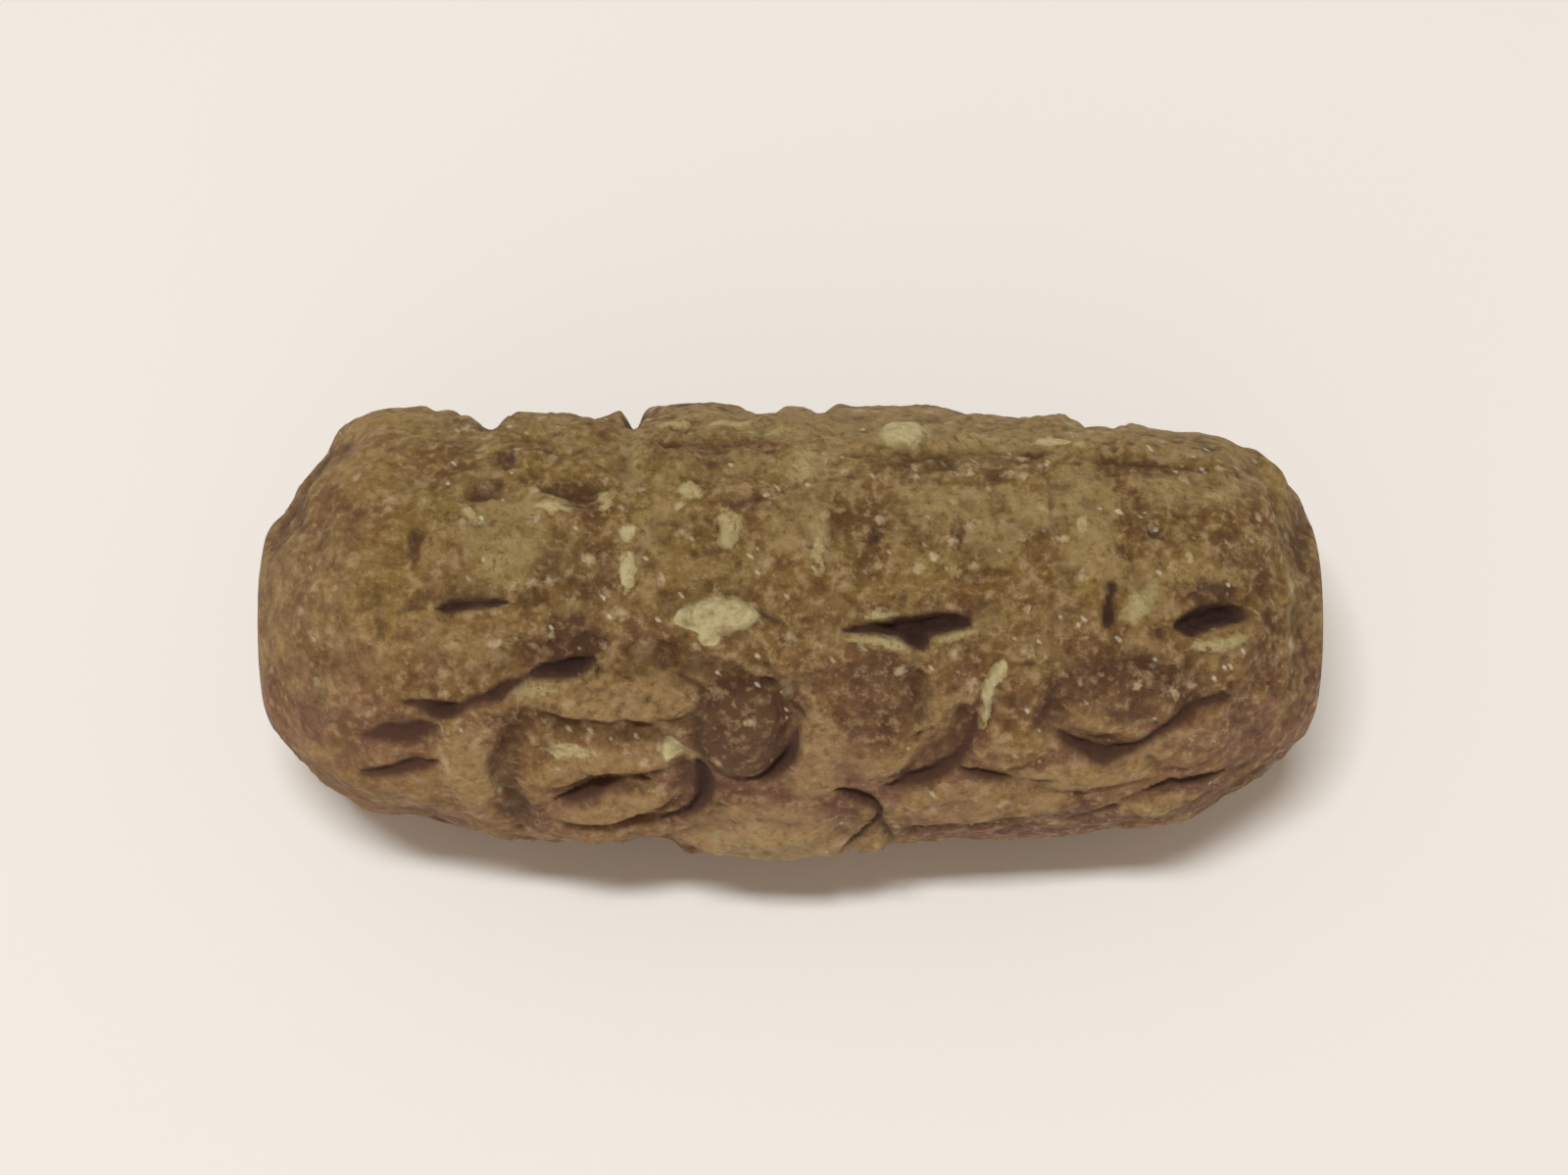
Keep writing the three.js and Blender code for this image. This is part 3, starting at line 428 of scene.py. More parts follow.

# stains, and painted shade: most of these darken hollows, slopes into cuts and the ground above
# the pit, where shade falls
STAIN_AND_SHADE_PATCHES = [
    (-2.2, 48, 2.3, 2.8, 0, 1.05), (-9.5, -17.5, 1.4, 0.8, 0, 0.6),
    (-13.4, -17, 1.3, 0.7, 0, 0.6), (-12.4, -28, 0.9, 1.1, 0, 0.5),
    (-16.55, -1.6, 0.45, 0.9, 0, 0.6), (-9.4, 6, 2.2, 1.6, 0, 0.5),
    (-21.6, 8, 2.8, 9, 0, 0.3),
    (-9.4, 24.5, 1.6, 1.3, 0, 0.75), (-4, -27.5, 1.6, 1.1, 0, 0.4),
    (-1.2, -11.6, 1.3, 0.5, -10, 0.5), (6.5, -24, 4.2, 1.5, 0, 0.35),
    (10.8, -31.8, 0.8, 0.5, 0, 0.7), (15.4, -28, 2.2, 0.8, 0, 0.55),
    (4, 40, 2.4, 2.6, 0, 0.5), (15.2, 37, 3.6, 1.8, 0, 0.6),
    (18.4, 12, 1.5, 0.9, 0, 0.6), (15.9, -5.2, 0.7, 0.5, 0, 0.55),
    (21.2, 10, 1, 2.4, 0, 0.4), (-12.6, 56, 0.9, 2.6, 0, 0.5),
    (-12, 78, 1.3, 1.4, 0, 0.55), (-17, 48.5, 2.2, 1.1, 0, 0.5),
    (-10.6, 45.5, 1.2, 0.7, 0, 0.4), (7.6, 49, 0.9, 1.6, 10, 0.5),
    (11.3, 43, 0.8, 1.2, 0, 0.5), (-19.4, 0, 0.7, 2.4, 0, 0.35),
    (7.4, -4.5, 0.4, 0.9, 0, 0.5), (3.8, -2.6, 0.45, 0.6, 0, 0.6),
    (-4.7, 66, 0.9, 1.7, 10, 0.5), (6, 17, 3, 0.6, 0, 0.35),
    (-14, 12.4, 2.4, 0.6, 0, 0.45), (-6, 26.5, 2.4, 0.9, 0, 0.35),
    (-12, -122, 2.4, 1.4, 0, 0.4), (4, -130, 2.6, 1.6, 0, 0.4),
    (14, -118, 2, 1.6, 0, 0.4), (-8, 132, 2.4, 1.6, 0, 0.4),
    (9, 120, 2.4, 1.4, 0, 0.4), (0, 160, 3, 2, 0, 0.3),
]


# ---------------------------------------------------------------- places on the barrel
def barrel_radius(x):
    """Radius of the plain barrel at x, for a number or an array."""
    from_end = np.maximum(LENGTH / 2 - np.abs(x), 0)
    full = BELLY_RADIUS - BARREL_BULGE * x * x - BARREL_TAPER * x
    share = np.minimum(from_end / DOME_LENGTH, 1)
    rise = (1 - (1 - share) ** DOME_POWER) ** (1 / DOME_POWER)
    return RING_RADIUS + (full - RING_RADIUS) * rise


def ring_points(x, angle, radius):
    """Points (n, 3) at x and angle (degrees) on rings of that radius round the long axis."""
    a = np.radians(angle)
    return np.stack([x + 0 * a, -radius * np.sin(a), AXIS_HEIGHT + radius * np.cos(a)], -1)


def barrel_points(x, angle):
    return ring_points(x, angle, barrel_radius(x))


def smooth_route(route, half_width):
    """A Catmull-Rom curve on the wall through a few (x, angle) places, and its half widths."""
    places = np.array(route, float) * (UNIT, 1)
    if np.isscalar(half_width):
        knot_widths = np.full(len(places), half_width * UNIT)
    else:
        knot_widths = np.array(half_width) * UNIT
    knots = np.column_stack([places, knot_widths])
    padded = np.vstack([2 * knots[0] - knots[1], knots, 2 * knots[-1] - knots[-2]])
    found = []
    for a, b, c, d in zip(padded, padded[1:], padded[2:], padded[3:]):
        t = np.linspace(0, 1, ROUTE_STEPS, endpoint=False)[:, None]
        found.append(0.5 * (2 * b + (c - a) * t + (2 * a - 5 * b + 4 * c - d) * t ** 2
                            + (3 * b - a - 3 * c + d) * t ** 3))
    found = np.vstack(found + [knots[-1:]])
    widths = np.maximum(found[:, 2], LEAST_HALF_WIDTH * UNIT)
    if np.isscalar(half_width):
        share = np.clip(np.linspace(0, 1, len(widths)), BLUNT_END, 1 - BLUNT_END)
        widths = widths * np.sqrt(np.sin(np.pi * share))
    return barrel_points(found[:, 0], found[:, 1]), widths


def smooth_step(low, high, value):
    t = np.clip((value - low) / (high - low), 0, 1)
    return t * t * (3 - 2 * t)


# ---------------------------------------------------------------- seeded noise
def hashed(cell, seed):
    """A number from 0 to 1 for each whole-number cell (n, 3)."""
    mixed = cell[..., 0] * 374761393 + cell[..., 1] * 668265263 + cell[..., 2] * 1440662683
    mixed = (mixed + seed * 1274126177) & 0xFFFFFFFF
    mixed = ((mixed ^ (mixed >> 13)) * 1274126177) & 0xFFFFFFFF
    mixed = ((mixed ^ (mixed >> 15)) * 2246822519) & 0xFFFFFFFF
    return (mixed ^ (mixed >> 16)) / 4294967295.0


def noise(points, size, seed):
    """Smooth noise from -1 to 1 whose lumps are about size millimetres apart."""
    place = points / (size * UNIT)
    cell = np.floor(place).astype(np.int64)
    part = place - cell
    ease = part * part * (3 - 2 * part)
    total = np.zeros(len(points))
    for corner in np.ndindex(2, 2, 2):
        corner = np.array(corner)
        weight = np.prod(np.where(corner, ease, 1 - ease), axis=1)
        total += weight * hashed(cell + corner, seed)
    return 2 * total - 1


def layered_noise(points, size, seed, layers=2):
    """Noise with finer, fainter noise on it, each layer half the size and height."""
    total = sum(noise(points, size / 2 ** i, seed + i) / 2 ** i for i in range(layers))
    return total / sum(1 / 2 ** i for i in range(layers))


def grains(points, size, seed):
    """Distance to the nearest scattered grain centre, in grain spacings, and a number from
    0 to 1 that belongs to that grain."""
    place = points / (size * UNIT)
    cell = np.floor(place).astype(np.int64)
    nearest = np.full(len(points), 9.0)
    kind = np.zeros(len(points))
    for step in np.ndindex(3, 3, 3):
        near_cell = cell + np.array(step) - 1
        centre = near_cell + np.stack([hashed(near_cell, seed + i) for i in range(3)], -1)
        distance = np.linalg.norm(place - centre, axis=1)
        closer = distance < nearest
        nearest = np.where(closer, distance, nearest)
        kind = np.where(closer, hashed(near_cell, seed + 3), kind)
    return nearest, kind


# ---------------------------------------------------------------- relief
def cut_depth(points, route, half_width, depth, softness):
    """How deep one cut is at points of the plain barrel."""
    path, widths = smooth_route(route, half_width)
    reach = widths.max()
    near = np.all((points > path.min(0) - reach) & (points < path.max(0) + reach), axis=1)
    found = np.zeros(len(points))
    if not near.any():
        return found
    here = points[near]
    deepest = np.zeros(len(here))
    for start, end, first, last in zip(path, path[1:], widths, widths[1:]):
        run = end - start
        along = np.clip((here - start) @ run / (run @ run), 0, 1)
        distance = np.linalg.norm(here - start - along[:, None] * run, axis=1)
        width = first + (last - first) * along
        section = np.clip(1 - (distance / width) ** 2, 0, 1) ** softness
        deepest = np.maximum(deepest, section * (width / reach) ** NARROWING)
    found[near] = depth * UNIT * deepest
    return found


def ellipse_share(x, angle, place):
    """1 in the middle of an ellipse on the wall, 0 on its edge and below 0 outside it."""
    centre_x, centre_angle, along, around, turn = place
    away = (angle - centre_angle + 180) % 360 - 180
    along_mm = x / UNIT - centre_x
    around_mm = np.radians(away) * barrel_radius(x) / UNIT
    c, s = math.cos(math.radians(turn)), math.sin(math.radians(turn))
    u = (along_mm * c + around_mm * s) / along
    v = (around_mm * c - along_mm * s) / around
    return 1 - u * u - v * v


def swelling_height(x, angle, swelling):
    *place, height, firmness = swelling
    share = ellipse_share(x, angle, place)
    return height * UNIT * smooth_step(0, 1, np.clip(share * firmness, 0, 1))


def patch_cover(x, angle, patches):
    """How strongly light or dark patches cover the wall, fading out at their edges."""
    cover = np.zeros(len(x))
    for *place, strength in patches:
        share = ellipse_share(x, angle, place)
        cover = np.maximum(cover, strength * smooth_step(*PATCH_FADE, share))
    return cover


def blurred(grid, reach):
    """Mean of a (ring, side) grid over a square window, closed round the sides."""
    for axis in (0, 1):
        total = np.zeros_like(grid)
        for shift in range(-reach, reach + 1):
            if axis == 1:
                total += np.roll(grid, shift, axis=1)
            else:
                index = np.clip(np.arange(len(grid)) + shift, 0, len(grid) - 1)
                total += grid[index]
        grid = total / (2 * reach + 1)
    return grid


# ---------------------------------------------------------------- the seal's mesh
def wall_stations():
    """x of every ring of the wall, closer together on the rounded ends."""
    dome = DOME_LENGTH * (1 - np.cos(np.linspace(0, np.pi / 2, DOME_STEPS, endpoint=False)))
    barrel = np.linspace(-0.5, 0.5, BARREL_STEPS + 1) * (LENGTH - 2 * DOME_LENGTH)
    return np.concatenate([dome - LENGTH / 2, barrel, LENGTH / 2 - dome[::-1]])


def side_angles():
    """Angle of every side of the wall, closest together round FINE_ANGLE."""
    turn = np.linspace(-1, 1, SIDES, endpoint=False)
    return FINE_ANGLE + 180 * (turn - FINE_SHARE * np.sin(np.pi * turn) / np.pi)


def coarseness(x, angle):
    """1 where the clay is sandy, less on the smoother -X end and the low front rolls."""
    from_end = 0.5 + 0.5 * smooth_step(-20 * UNIT, -12 * UNIT, x)
    low_front = smooth_step(36, 62, angle) * (1 - smooth_step(120, 150, angle))
    return from_end * (1 - 0.4 * low_front)


def rosiness(x, angle):
    """1 where the clay is rosier, low on the front and at the -X end, and 0 high on the back."""
    low_front = smooth_step(-10, 75, angle) * (1 - smooth_step(130, 170, angle))
    end = 1 - smooth_step(-24 * UNIT, -13 * UNIT, x)
    return np.maximum(low_front, 0.45 * end)


def sandiness(angle, coarse):
    """How rough the wall is, 0 to 1, with less of it on the worn back rim."""
    middle, spread, lack = SMOOTH_RIM
    worn = lack * np.exp(-((angle - middle) / spread) ** 2)
    return (LEAST_SANDY + (1 - LEAST_SANDY) * coarse) * (1 - worn)


def roughness_height(base, x, sandy):
    """Height of the waves, lumps and loose grains over the plain barrel."""
    height, pace, start = LONG_WAVE
    lift = UNIT * height * np.sin(pace * x + start)
    lift += UNIT * sum(height * noise(base, size, seed) for size, height, seed in UNEVENNESS)
    lift += UNIT * sandy * sum(height * noise(base, size, seed)
                               for size, height, seed in SANDINESS)
    for (spacing, seed), standing, lost in LOOSE_GRAINS:
        near, kind = grains(base, spacing, seed)
        limit, height, radius = standing
        lift += UNIT * height * sandy * (kind > limit) * np.clip(1 - (near / radius) ** 2, 0, 1)
        limit, depth, radius = lost
        lift -= UNIT * depth * sandy * (kind < limit) * np.clip(1 - (near / radius) ** 2, 0, 1)
    return lift


def wavering(base, size, seed, axes=3):
    """Smooth offsets along each axis, from -1 to 1."""
    return np.stack([layered_noise(base, size, seed + 10 * i) for i in range(axes)], -1)


def carve(x, angle):
    """Worked points of the wall at flat arrays x and angle, with what the finish and its painted
    light and shade need.
    """
    base = barrel_points(x, angle)
    radius = barrel_radius(x)
    wander = WANDER[1] * wavering(base, WANDER[0], 40)
    sway = np.stack([noise(base, SWAY[0], 140 + i) for i in range(3)], -1)
    bent = base + UNIT * (wander + SWAY[1] * sway)
    bent_x = bent[:, 0]
    bent_round = UNIT * (wander[:, 1] + SWAY_ROUND * sway[:, 1])
    bent_angle = angle + np.degrees(bent_round / radius)

    lowered = np.zeros(len(x))
    cut = np.zeros(len(x))
    for route, half_width, depth, softness in CUTS:
        found = cut_depth(bent, route, half_width, depth, softness)
        silted = SILTED_SOFTNESS < softness < CLEAN_SOFTNESS
        lowered = np.maximum(lowered, found * (SILTED_DEPTH if silted else 1))
        if softness < CLEAN_SOFTNESS:
            cut = np.maximum(cut, found)
    lift = -lowered
    for swelling in SWELLINGS:
        lift += swelling_height(bent_x, bent_angle, swelling)
    coarse = coarseness(x, angle)
    lift += roughness_height(base, x, sandiness(angle, coarse))

    spine = np.zeros_like(base)
    spine[:, 0] = np.clip(x, DOME_LENGTH - LENGTH / 2, LENGTH / 2 - DOME_LENGTH)
    spine[:, 2] = AXIS_HEIGHT
    outward = base - spine
    outward /= np.linalg.norm(outward, axis=1)[:, None]
    lift *= smooth_step(RING_RADIUS, RELIEF_START_RADIUS, radius)
    worked = base + outward * lift[:, None]
    worked[:, 2] = np.maximum(worked[:, 2], 0)  # nothing reaches below the floor

    fray = UNIT * FRAY[1] * wavering(base, FRAY[0], 180, axes=2)
    frayed_x = bent_x + fray[:, 0]
    frayed_angle = bent_angle + np.degrees(fray[:, 1] / radius)
    # the patches carry painted light and shade as well as the clay's own colour
    pale, stain_and_shade, tan_and_lit = (patch_cover(frayed_x, frayed_angle, patches)
                       for patches in (PALE_PATCHES, STAIN_AND_SHADE_PATCHES, TAN_AND_LIT_PATCHES))
    return worked, lift, {"cut": cut / UNIT, "pale": pale, "stain_and_shade": stain_and_shade, "tan_and_lit": tan_and_lit,
                          "coarse": coarse, "rosy": rosiness(x, angle)}


def add_object(name, data):
    found = bpy.data.objects.new(name, data)
    bpy.context.scene.collection.objects.link(found)
    return found


def seal_faces(ring_count):
    """Four-sided faces between all rings, closed round the sides and from hole to wall."""
    ring = np.arange(ring_count)[:, None]
    side = np.arange(SIDES)[None, :]
    next_ring = (ring + 1) % ring_count
    next_side = (side + 1) % SIDES
    faces = np.stack([ring * SIDES + side, ring * SIDES + next_side,
                      next_ring * SIDES + next_side, next_ring * SIDES + side], -1)
    return faces.reshape(-1, 4)


def make_seal():
    """The seal as one closed mesh, with a smooth value at each point for its finish and its
    painted light and shade.
    """
    stations = wall_stations()
    angles = side_angles()
    rings = len(stations)
    x, angle = (grid.ravel() for grid in np.meshgrid(stations, angles, indexing="ij"))
    wall, lift, finish_and_painted_light = carve(x, angle)

    grid = lift.reshape(rings, SIDES)
    fine = (grid - blurred(grid, FINE_WINDOW)) / UNIT
    broad = (grid - blurred(grid, BROAD_WINDOW)) / UNIT
    # hollows are darkened by painted shade with some dirt, and high places lightened by painted
    # highlight and wear
    hollow = np.clip(-BROAD_HOLLOW * broad, 0, 1) + np.clip(-FINE_HOLLOW * fine, 0, 1)
    raised = np.clip(BROAD_RAISED * broad, 0, 1) + np.clip(FINE_RAISED * fine, 0, 1)
    shade = blurred(finish_and_painted_light["cut"].reshape(rings, SIDES), SHADE_WINDOW)
    finish_and_painted_light.update(hollow=np.clip(hollow, 0, 1).ravel(), raised=np.clip(raised, 0, 1).ravel(),
                  shade=shade.ravel())

    bore_x = np.linspace(LENGTH / 2 - MOUTH_DEPTH, MOUTH_DEPTH - LENGTH / 2, BORE_STEPS + 1)
    bore = [(LENGTH / 2, MOUTH_RADIUS), *((value, BORE_RADIUS) for value in bore_x),
            (-LENGTH / 2, MOUTH_RADIUS)]
    bore_points = np.vstack([ring_points(place, angles, radius) for place, radius in bore])

    points = np.vstack([wall, bore_points]) * MM
    mesh = bpy.data.meshes.new("carved_seal")
    mesh.from_pydata(points.tolist(), [], seal_faces(rings + len(bore)).tolist())
    mesh.update()
    for name, values in finish_and_painted_light.items():
        attribute = mesh.attributes.new(name, "FLOAT", "POINT")
        in_bore = np.full(len(bore_points), BORE_SHADE_AND_FINISH.get(name, 0.0))
        filled = np.concatenate([values, in_bore])
        attribute.data.foreach_set("value", filled.astype(np.float32))
    mesh.shade_smooth()
    return add_object("carved_seal", mesh)


# ---------------------------------------------------------------- materials
def srgb(red, green, blue):
    """Linear RGBA of a colour given in 0 to 255 steps."""
    def linear(step):
        value = step / 255
        return value / 12.92 if value <= 0.04045 else ((value + 0.055) / 1.055) ** 2.4
    return (linear(red), linear(green), linear(blue), 1)


class Nodes:
    """Short calls for building one material's node tree."""

    def __init__(self, name):
        self.material = bpy.data.materials.new(name)
        self.material.use_nodes = True
        self.tree = self.material.node_tree
        self.shader = self.tree.nodes["Principled BSDF"]
        self.place = self.tree.nodes.new("ShaderNodeTexCoord").outputs["Object"]

    def link(self, output, socket):
        self.tree.links.new(output, socket)

    def attribute(self, name):
        """One of the smooth values that the mesh carries."""
        node = self.tree.nodes.new("ShaderNodeAttribute")
        node.attribute_name = name
        return node.outputs["Fac"]

    def noise(self, size_mm, detail=4, rough=0.55):
        node = self.tree.nodes.new("ShaderNodeTexNoise")
        node.inputs["Scale"].default_value = 1 / (size_mm * MM)
        node.inputs["Detail"].default_value = detail
        node.inputs["Roughness"].default_value = rough
        self.link(self.place, node.inputs["Vector"])
        return node.outputs["Fac"]

    def grain(self, size_mm, stretch=None):
        """A number that belongs to each scattered grain, and the distance to its middle."""
        node = self.tree.nodes.new("ShaderNodeTexVoronoi")
        node.inputs["Scale"].default_value = 1 / (size_mm * MM)
        self.link(self.stretched(stretch), node.inputs["Vector"])
        split = self.tree.nodes.new("ShaderNodeSeparateColor")
        self.link(node.outputs["Color"], split.inputs["Color"])
        return split.outputs["Red"], node.outputs["Distance"]

    def stretched(self, stretch):
        """Place on the seal, drawn out by (turn in radians, scale) where that is given."""
        if stretch is None:
            return self.place
        node = self.tree.nodes.new("ShaderNodeMapping")
        node.vector_type = "TEXTURE"
        turn, scale = stretch
        node.inputs["Rotation"].default_value = turn
        node.inputs["Scale"].default_value = scale
        self.link(self.place, node.inputs["Vector"])
        return node.outputs["Vector"]

    def math(self, operation, first, second, clamp=False):
        node = self.tree.nodes.new("ShaderNodeMath")
        node.operation = operation
        node.use_clamp = clamp
        for socket, value in zip(node.inputs, (first, second)):
            if isinstance(value, (int, float)):
                socket.default_value = value
            else:
                self.link(value, socket)
        return node.outputs["Value"]

    def spread(self, value, low, high, to_low=0.0, to_high=1.0):
        """value stretched from low..high to to_low..to_high, and held there outside it."""
        node = self.tree.nodes.new("ShaderNodeMapRange")
        node.inputs["From Min"].default_value = low
        node.inputs["From Max"].default_value = high
        node.inputs["To Min"].default_value = to_low
        node.inputs["To Max"].default_value = to_high
        self.link(value, node.inputs["Value"])
        return node.outputs["Result"]

    def ragged(self, cover, size_mm, depth, low, high):
        """How far a fading patch covers the surface once noise has broken up its edges."""
        rough = self.noise(size_mm, detail=6, rough=0.7)
        rough = self.spread(rough, 0.0, 1.0, -depth / 2, depth / 2)
        found = self.spread(self.math("ADD", cover, rough), low, high)
        return self.math("MULTIPLY", found, self.spread(cover, 0.02, 0.20))

    def ramp(self, value, stops):
        """Colour of value between (place, colour) stops."""
        node = self.tree.nodes.new("ShaderNodeValToRGB")
        points = node.color_ramp.elements
        while len(points) < len(stops):
            points.new(0.5)
        for point, (place, colour) in zip(points, stops):
            point.position = place
            point.color = colour
        self.link(value, node.inputs["Fac"])
        return node.outputs["Color"]

    def blend(self, share, first, second):
        """First colour where share is 0, second where it is 1."""
        node = self.tree.nodes.new("ShaderNodeMix")
        node.data_type = "RGBA"
        self.link(share, node.inputs["Factor"])
        for socket, value in ((node.inputs["A"], first), (node.inputs["B"], second)):
            if isinstance(value, tuple):
                socket.default_value = value
            else:
                self.link(value, socket)
        return node.outputs["Result"]


# colours of the clay, its dust, dirt and grains, the painted light and shade on it, and the floor
CLAY_DEEP = srgb(98, 66, 34)
CLAY_BROWN = srgb(142, 98, 50)
CLAY = srgb(168, 127, 68)
CLAY_TAN = srgb(190, 153, 90)
CLAY_PALE = srgb(208, 181, 124)
OLIVE = srgb(178, 152, 76)
UMBER = srgb(134, 99, 48)
MAUVE = srgb(168, 120, 92)
MAUVE_DEEP = srgb(134, 89, 69)
# dust colours, also used as painted light on the tan patches of the back rim and the low lobe
TAN_DUST_AND_PAINTED_LIGHT = srgb(206, 168, 118)
OLIVE_DUST_AND_PAINTED_LIGHT = srgb(200, 171, 110)
# stain colour, also used as painted shade
STAIN_AND_SHADE_COLOUR = srgb(100, 64, 46)
# painted shade and dirt in and along the cuts: brown, then darkest in deep ones
CUT_SHADE_BROWN = srgb(98, 64, 47)
SHADE_AND_DIRT = srgb(70, 44, 34)
CREAM = srgb(250, 232, 176)
CREAM_SHADE = srgb(220, 194, 134)
TAN_CRUST = srgb(204, 180, 120)
GRAIN_TAN = srgb(212, 178, 130)
GRAIN_BROWN = srgb(112, 74, 40)
GRAIN_PALE = srgb(246, 220, 174)
GRAIN_DARK = srgb(80, 54, 32)
GLINT = srgb(252, 238, 204)
FLOOR = srgb(241, 237, 231)

GLINT_STRETCH = ((0.0, 0.0, -0.8), (1.6, 0.75, 1.0))  # turn in radians and scale
BUMP_HEIGHT = 0.55 * MM


def clay_material():
    """Coarse fired clay: mottled browns, sand grains, mica glints, painted light and shade, and
    painted shade with dirt in the cuts.
    """
    n = Nodes("fired_clay")
    hollow = n.attribute("hollow")
    raised = n.attribute("raised")
    cut = n.attribute("cut")
    pale = n.attribute("pale")
    stain_and_shade = n.attribute("stain_and_shade")
    tan_and_lit = n.attribute("tan_and_lit")
    rosy = n.attribute("rosy")
    coarse = n.attribute("coarse")

    # mottled ground, golden above and mauve below, under a veil of dust
    mottle = n.noise(2.2, detail=8, rough=0.66)
    colour = n.ramp(mottle, [(0.36, CLAY_DEEP), (0.44, CLAY_BROWN), (0.51, CLAY),
                             (0.58, CLAY_TAN), (0.66, CLAY_PALE)])
    colour = n.blend(n.spread(coarse, 0.0, 1.0, 0.5, 0.0), colour, CLAY)
    golden = n.blend(n.spread(n.noise(3.2, detail=7, rough=0.62), 0.42, 0.58), UMBER, OLIVE)
    colour = n.blend(n.spread(rosy, 0.0, 0.8, 0.7, 0.0), colour, golden)
    mauve = n.blend(n.spread(n.noise(2.6, detail=7, rough=0.62), 0.42, 0.60), MAUVE, MAUVE_DEEP)
    mauve_share = n.math("MULTIPLY", n.spread(rosy, 0.1, 0.9, 0.16, 1.0),
                         n.spread(n.noise(3.6, detail=6, rough=0.6), 0.40, 0.56, 0.2, 1.0))
    colour = n.blend(mauve_share, colour, mauve)
    veil = n.spread(n.noise(2.4, detail=8, rough=0.68), 0.49, 0.58, 0.0, 0.55)
    veil = n.math("MULTIPLY", veil, n.spread(rosy, 0.1, 0.9, 1.0, 0.45))
    dust_and_painted_light = n.blend(n.spread(rosy, 0.1, 0.8), OLIVE_DUST_AND_PAINTED_LIGHT, TAN_DUST_AND_PAINTED_LIGHT)
    colour = n.blend(veil, colour, dust_and_painted_light)

    # tan patches, partly painted light; dark patches, partly stains and partly painted shade; and
    # high places made lighter, a painted highlight as well as wear
    tan_and_lit_cover = n.ragged(tan_and_lit, 1.5, 1.6, 0.20, 0.70)
    colour = n.blend(n.math("MULTIPLY", tan_and_lit_cover, 0.8), colour, dust_and_painted_light)
    stain_and_shade_cover = n.ragged(stain_and_shade, 1.3, 1.6, 0.20, 0.70)
    colour = n.blend(n.math("MULTIPLY", stain_and_shade_cover, 0.88), colour, STAIN_AND_SHADE_COLOUR)
    plain = n.spread(stain_and_shade_cover, 0.0, 1.0, 1.0, 0.25)
    # high places lighter: painted highlight on raised forms, as well as wear
    rubbed_and_lit = n.math("MULTIPLY", n.math("MULTIPLY", raised, 0.5, clamp=True), plain)
    colour = n.blend(rubbed_and_lit, colour, CLAY_TAN)

    # speckle of fine sand
    amount = n.math("MULTIPLY", n.spread(coarse, 0, 1, 0.2, 0.68),
                    n.spread(stain_and_shade_cover, 0.0, 1.0, 1.0, 0.55))
    for size in (0.8, 0.4):
        speckle = n.noise(size, detail=4, rough=0.6)
        light = n.math("MULTIPLY", n.spread(speckle, 0.53, 0.66), amount)
        colour = n.blend(light, colour, GRAIN_TAN)
        shadow = n.math("MULTIPLY", n.spread(speckle, 0.46, 0.32, 0.0, 0.65), amount)
        colour = n.blend(shadow, colour, GRAIN_BROWN)

    # single light and dark grains
    uneven = n.spread(n.noise(0.3, detail=3), 0.3, 0.7, -0.22, 0.22)
    kind, near = n.grain(0.8)
    near = n.math("ADD", near, uneven)
    light_grains = n.math("MULTIPLY", n.spread(kind, 0.74, 0.88),
                          n.spread(near, 0.10, 0.42, 1, 0))
    light_grains = n.math("MULTIPLY", light_grains, n.spread(coarse, 0.2, 1, 0.2, 0.8))
    colour = n.blend(light_grains, colour, GRAIN_PALE)
    dark_grains = n.math("MULTIPLY", n.spread(kind, 0.18, 0.10), n.spread(near, 0.12, 0.36, 1, 0))
    dark_grains = n.math("MULTIPLY", dark_grains, n.spread(coarse, 0.4, 1, 0.0, 0.5))
    colour = n.blend(dark_grains, colour, GRAIN_DARK)

    # cream crust of the pale patches, broken into crumbs
    crust = n.ragged(pale, 0.45, 3.2, 0.38, 0.70)
    crumbs = n.spread(n.noise(0.45, detail=3), 0.44, 0.58)
    closed = n.math("ADD", crumbs, n.spread(pale, 0.45, 0.95, 0.1, 1), clamp=True)
    crust = n.math("MULTIPLY", crust, closed)
    crust = n.math("MULTIPLY", crust, n.spread(cut, 0.15, 0.5, 1, 0))
    crust_colour = n.ramp(n.noise(0.5, detail=6, rough=0.7), [(0.34, CREAM_SHADE), (0.54, CREAM)])
    crust_colour = n.blend(n.spread(pale, 0.6, 1.1), TAN_CRUST, crust_colour)
    colour = n.blend(crust, colour, crust_colour)

    # painted shade, with some dirt, in the hollows and in and along the cuts
    colour = n.blend(n.math("MULTIPLY", hollow, 0.6, clamp=True), colour, CLAY_DEEP)
    # painted shade along and in the cuts, with dirt
    colour = n.blend(n.spread(n.attribute("shade"), 0.06, 0.40, 0, 0.9), colour, CUT_SHADE_BROWN)
    colour = n.blend(n.spread(cut, 0.12, 0.42, 0, 0.8), colour, CUT_SHADE_BROWN)
    colour = n.blend(n.spread(cut, 0.50, 1.0, 0, 0.95), colour, SHADE_AND_DIRT)

    # slanting mica glints
    kind, near = n.grain(0.50, stretch=GLINT_STRETCH)
    near = n.math("ADD", near, n.math("MULTIPLY", uneven, 0.5))
    glint = n.math("MULTIPLY", n.math("GREATER_THAN", kind, 0.90),
                   n.spread(near, 0.12, 0.30, 1, 0))
    glint = n.math("MULTIPLY", glint, n.spread(cut, 0.0, 0.3, 1, 0))
    glint = n.math("MULTIPLY", glint, n.spread(coarse, 0.2, 0.9, 0.1, 1))
    glint = n.math("MULTIPLY", glint, n.spread(n.noise(5.0, detail=2), 0.42, 0.56, 0.2, 1))
    colour = n.blend(n.math("MULTIPLY", glint, 0.95), colour, GLINT)
    n.link(colour, n.shader.inputs["Base Color"])

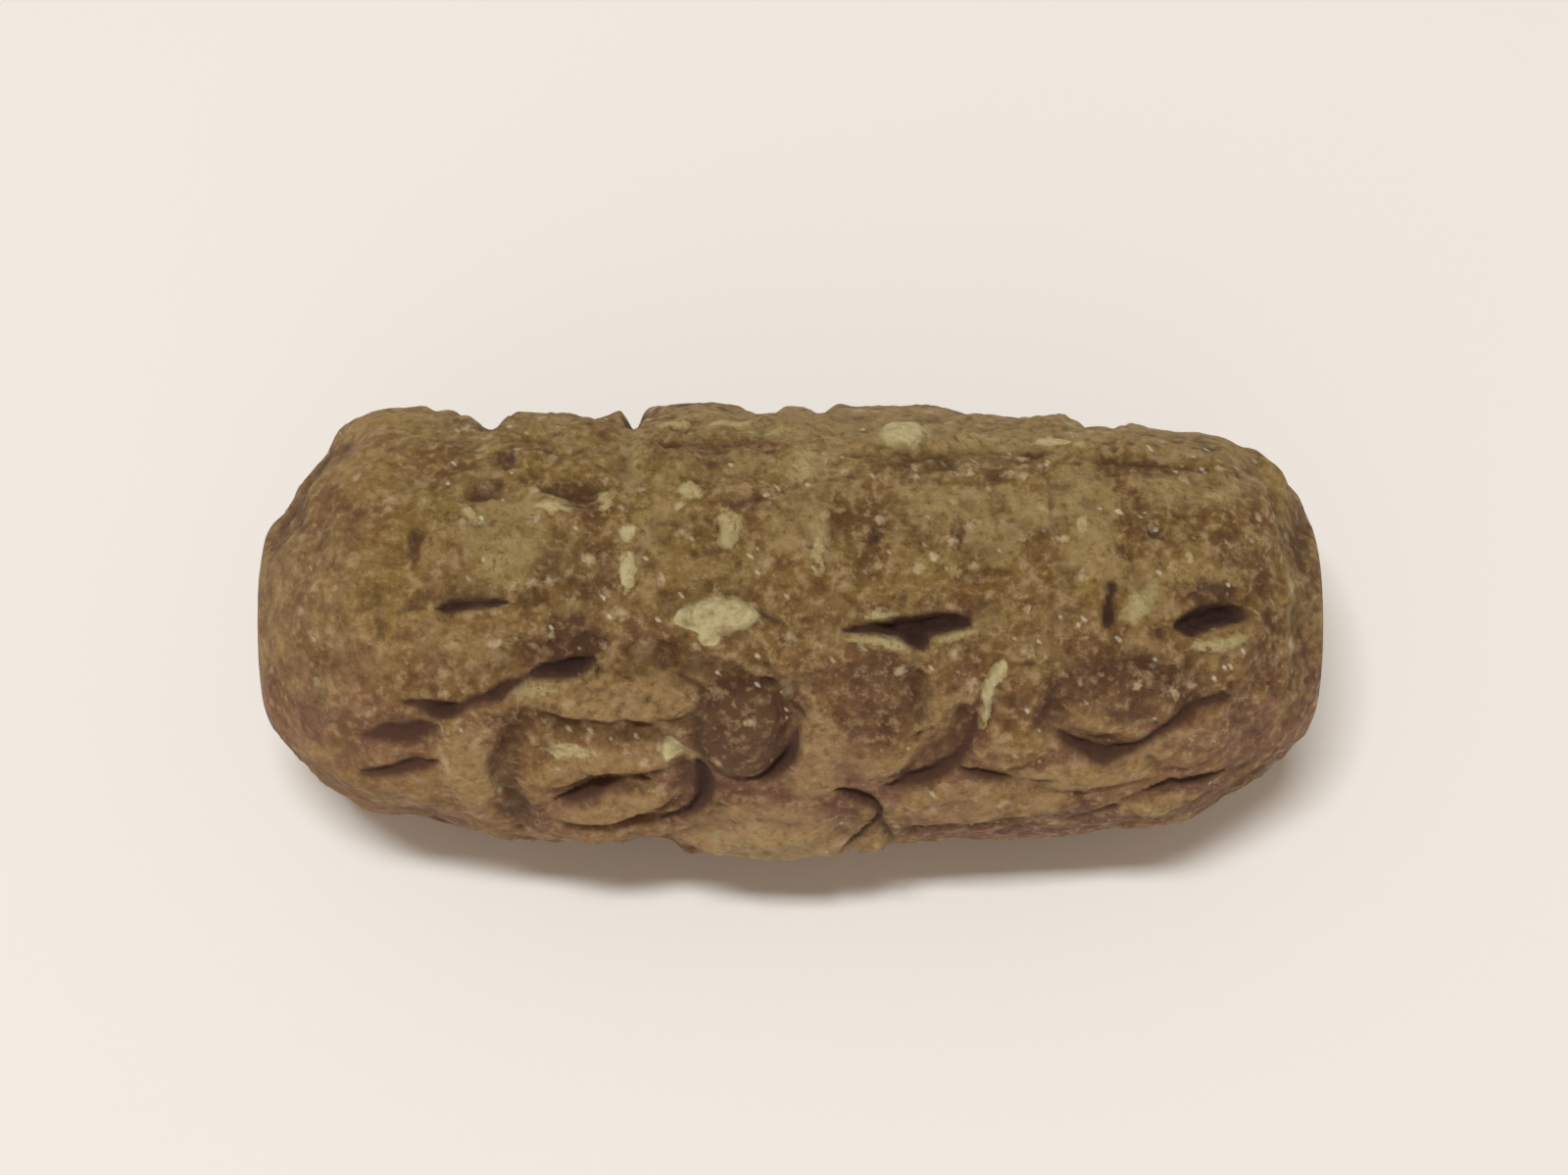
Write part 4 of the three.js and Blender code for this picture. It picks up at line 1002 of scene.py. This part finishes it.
    # dull clay with a rough, grainy surface
    roughness = n.spread(n.noise(0.5, detail=4), 0.35, 0.65, 0.55, 0.85)
    roughness = n.math("SUBTRACT", roughness, n.math("MULTIPLY", glint, 0.35))
    n.link(roughness, n.shader.inputs["Roughness"])
    n.shader.inputs["Specular IOR Level"].default_value = 0.4

    _, near = n.grain(0.50)
    height = n.math("SUBTRACT", n.noise(0.8, detail=9, rough=0.78),
                    n.math("MULTIPLY", near, 0.35))
    height = n.math("MULTIPLY", height, n.spread(coarse, 0, 1, 0.6, 1.1))
    bump = n.tree.nodes.new("ShaderNodeBump")
    bump.inputs["Strength"].default_value = 1.0
    bump.inputs["Distance"].default_value = BUMP_HEIGHT
    n.link(height, bump.inputs["Height"])
    n.link(bump.outputs["Normal"], n.shader.inputs["Normal"])
    return n.material


def floor_material():
    n = Nodes("pale_floor")
    n.shader.inputs["Base Color"].default_value = FLOOR
    n.shader.inputs["Roughness"].default_value = 0.9
    n.shader.inputs["Specular IOR Level"].default_value = 0.1
    return n.material


# ---------------------------------------------------------------- studio
CAMERA_ELEVATION = 70  # degrees above the floor, from the front
CAMERA_DISTANCE = 170 * MM
CAMERA_LENS = 84.5
SENSOR_WIDTH = 36
NEAREST_SEEN = 0.01
FRAME_SHIFT = (-0.0041, 0.0234)  # shares of the frame's width
FLOOR_HALF_WIDTH = 0.6
# (name, place, width along X and depth, power, colour)
LIGHTS = [
    ("key", (-0.06, -0.035, 0.60), (0.20, 0.055), 2.42, (0.97, 1.01, 1.04)),
    ("front", (-0.15, -0.55, 0.40), (1.00, 0.50), 0.46, (1.0, 0.92, 0.90)),
]
SURROUND_COLOUR = (1.0, 0.82, 0.65, 1)
SURROUND_STRENGTH = 0.345


def add_camera():
    camera = bpy.data.cameras.new("camera")
    camera.lens = CAMERA_LENS
    camera.sensor_width = SENSOR_WIDTH
    camera.shift_x, camera.shift_y = FRAME_SHIFT
    camera.clip_start = NEAREST_SEEN
    holder = add_object("camera", camera)
    tilt = math.radians(CAMERA_ELEVATION)
    back = Vector((0, -math.cos(tilt), math.sin(tilt)))
    holder.location = Vector((0, 0, AXIS_HEIGHT * MM)) + CAMERA_DISTANCE * back
    holder.rotation_euler = (math.pi / 2 - tilt, 0, 0)
    bpy.context.scene.camera = holder


def add_area_light(name, place, size, power, colour):
    """A rectangular light at place, facing the seal."""
    x, y, z = place
    light = bpy.data.lights.new(name, "AREA")
    light.shape = "RECTANGLE"
    light.size, light.size_y = size
    light.energy = power
    light.color = colour
    holder = add_object(name, light)
    holder.location = place
    holder.rotation_euler = (math.atan2(-y, math.hypot(x, z)), math.atan2(x, z), 0)


def add_studio():
    half = FLOOR_HALF_WIDTH
    mesh = bpy.data.meshes.new("floor")
    corners = [(-half, -half, 0), (half, -half, 0), (half, half, 0), (-half, half, 0)]
    mesh.from_pydata(corners, [], [(0, 1, 2, 3)])
    mesh.materials.append(floor_material())
    add_object("floor", mesh)
    for light in LIGHTS:
        add_area_light(*light)
    world = bpy.data.worlds.new("studio")
    world.use_nodes = True
    background = world.node_tree.nodes["Background"]
    background.inputs["Color"].default_value = SURROUND_COLOUR
    background.inputs["Strength"].default_value = SURROUND_STRENGTH
    bpy.context.scene.world = world
    bpy.context.scene.view_settings.view_transform = "Standard"


# ---------------------------------------------------------------- put together
add_camera()
add_studio()
carved_seal = make_seal()
carved_seal.data.materials.append(clay_material())
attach(carved_seal, "root")
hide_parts(NODE)
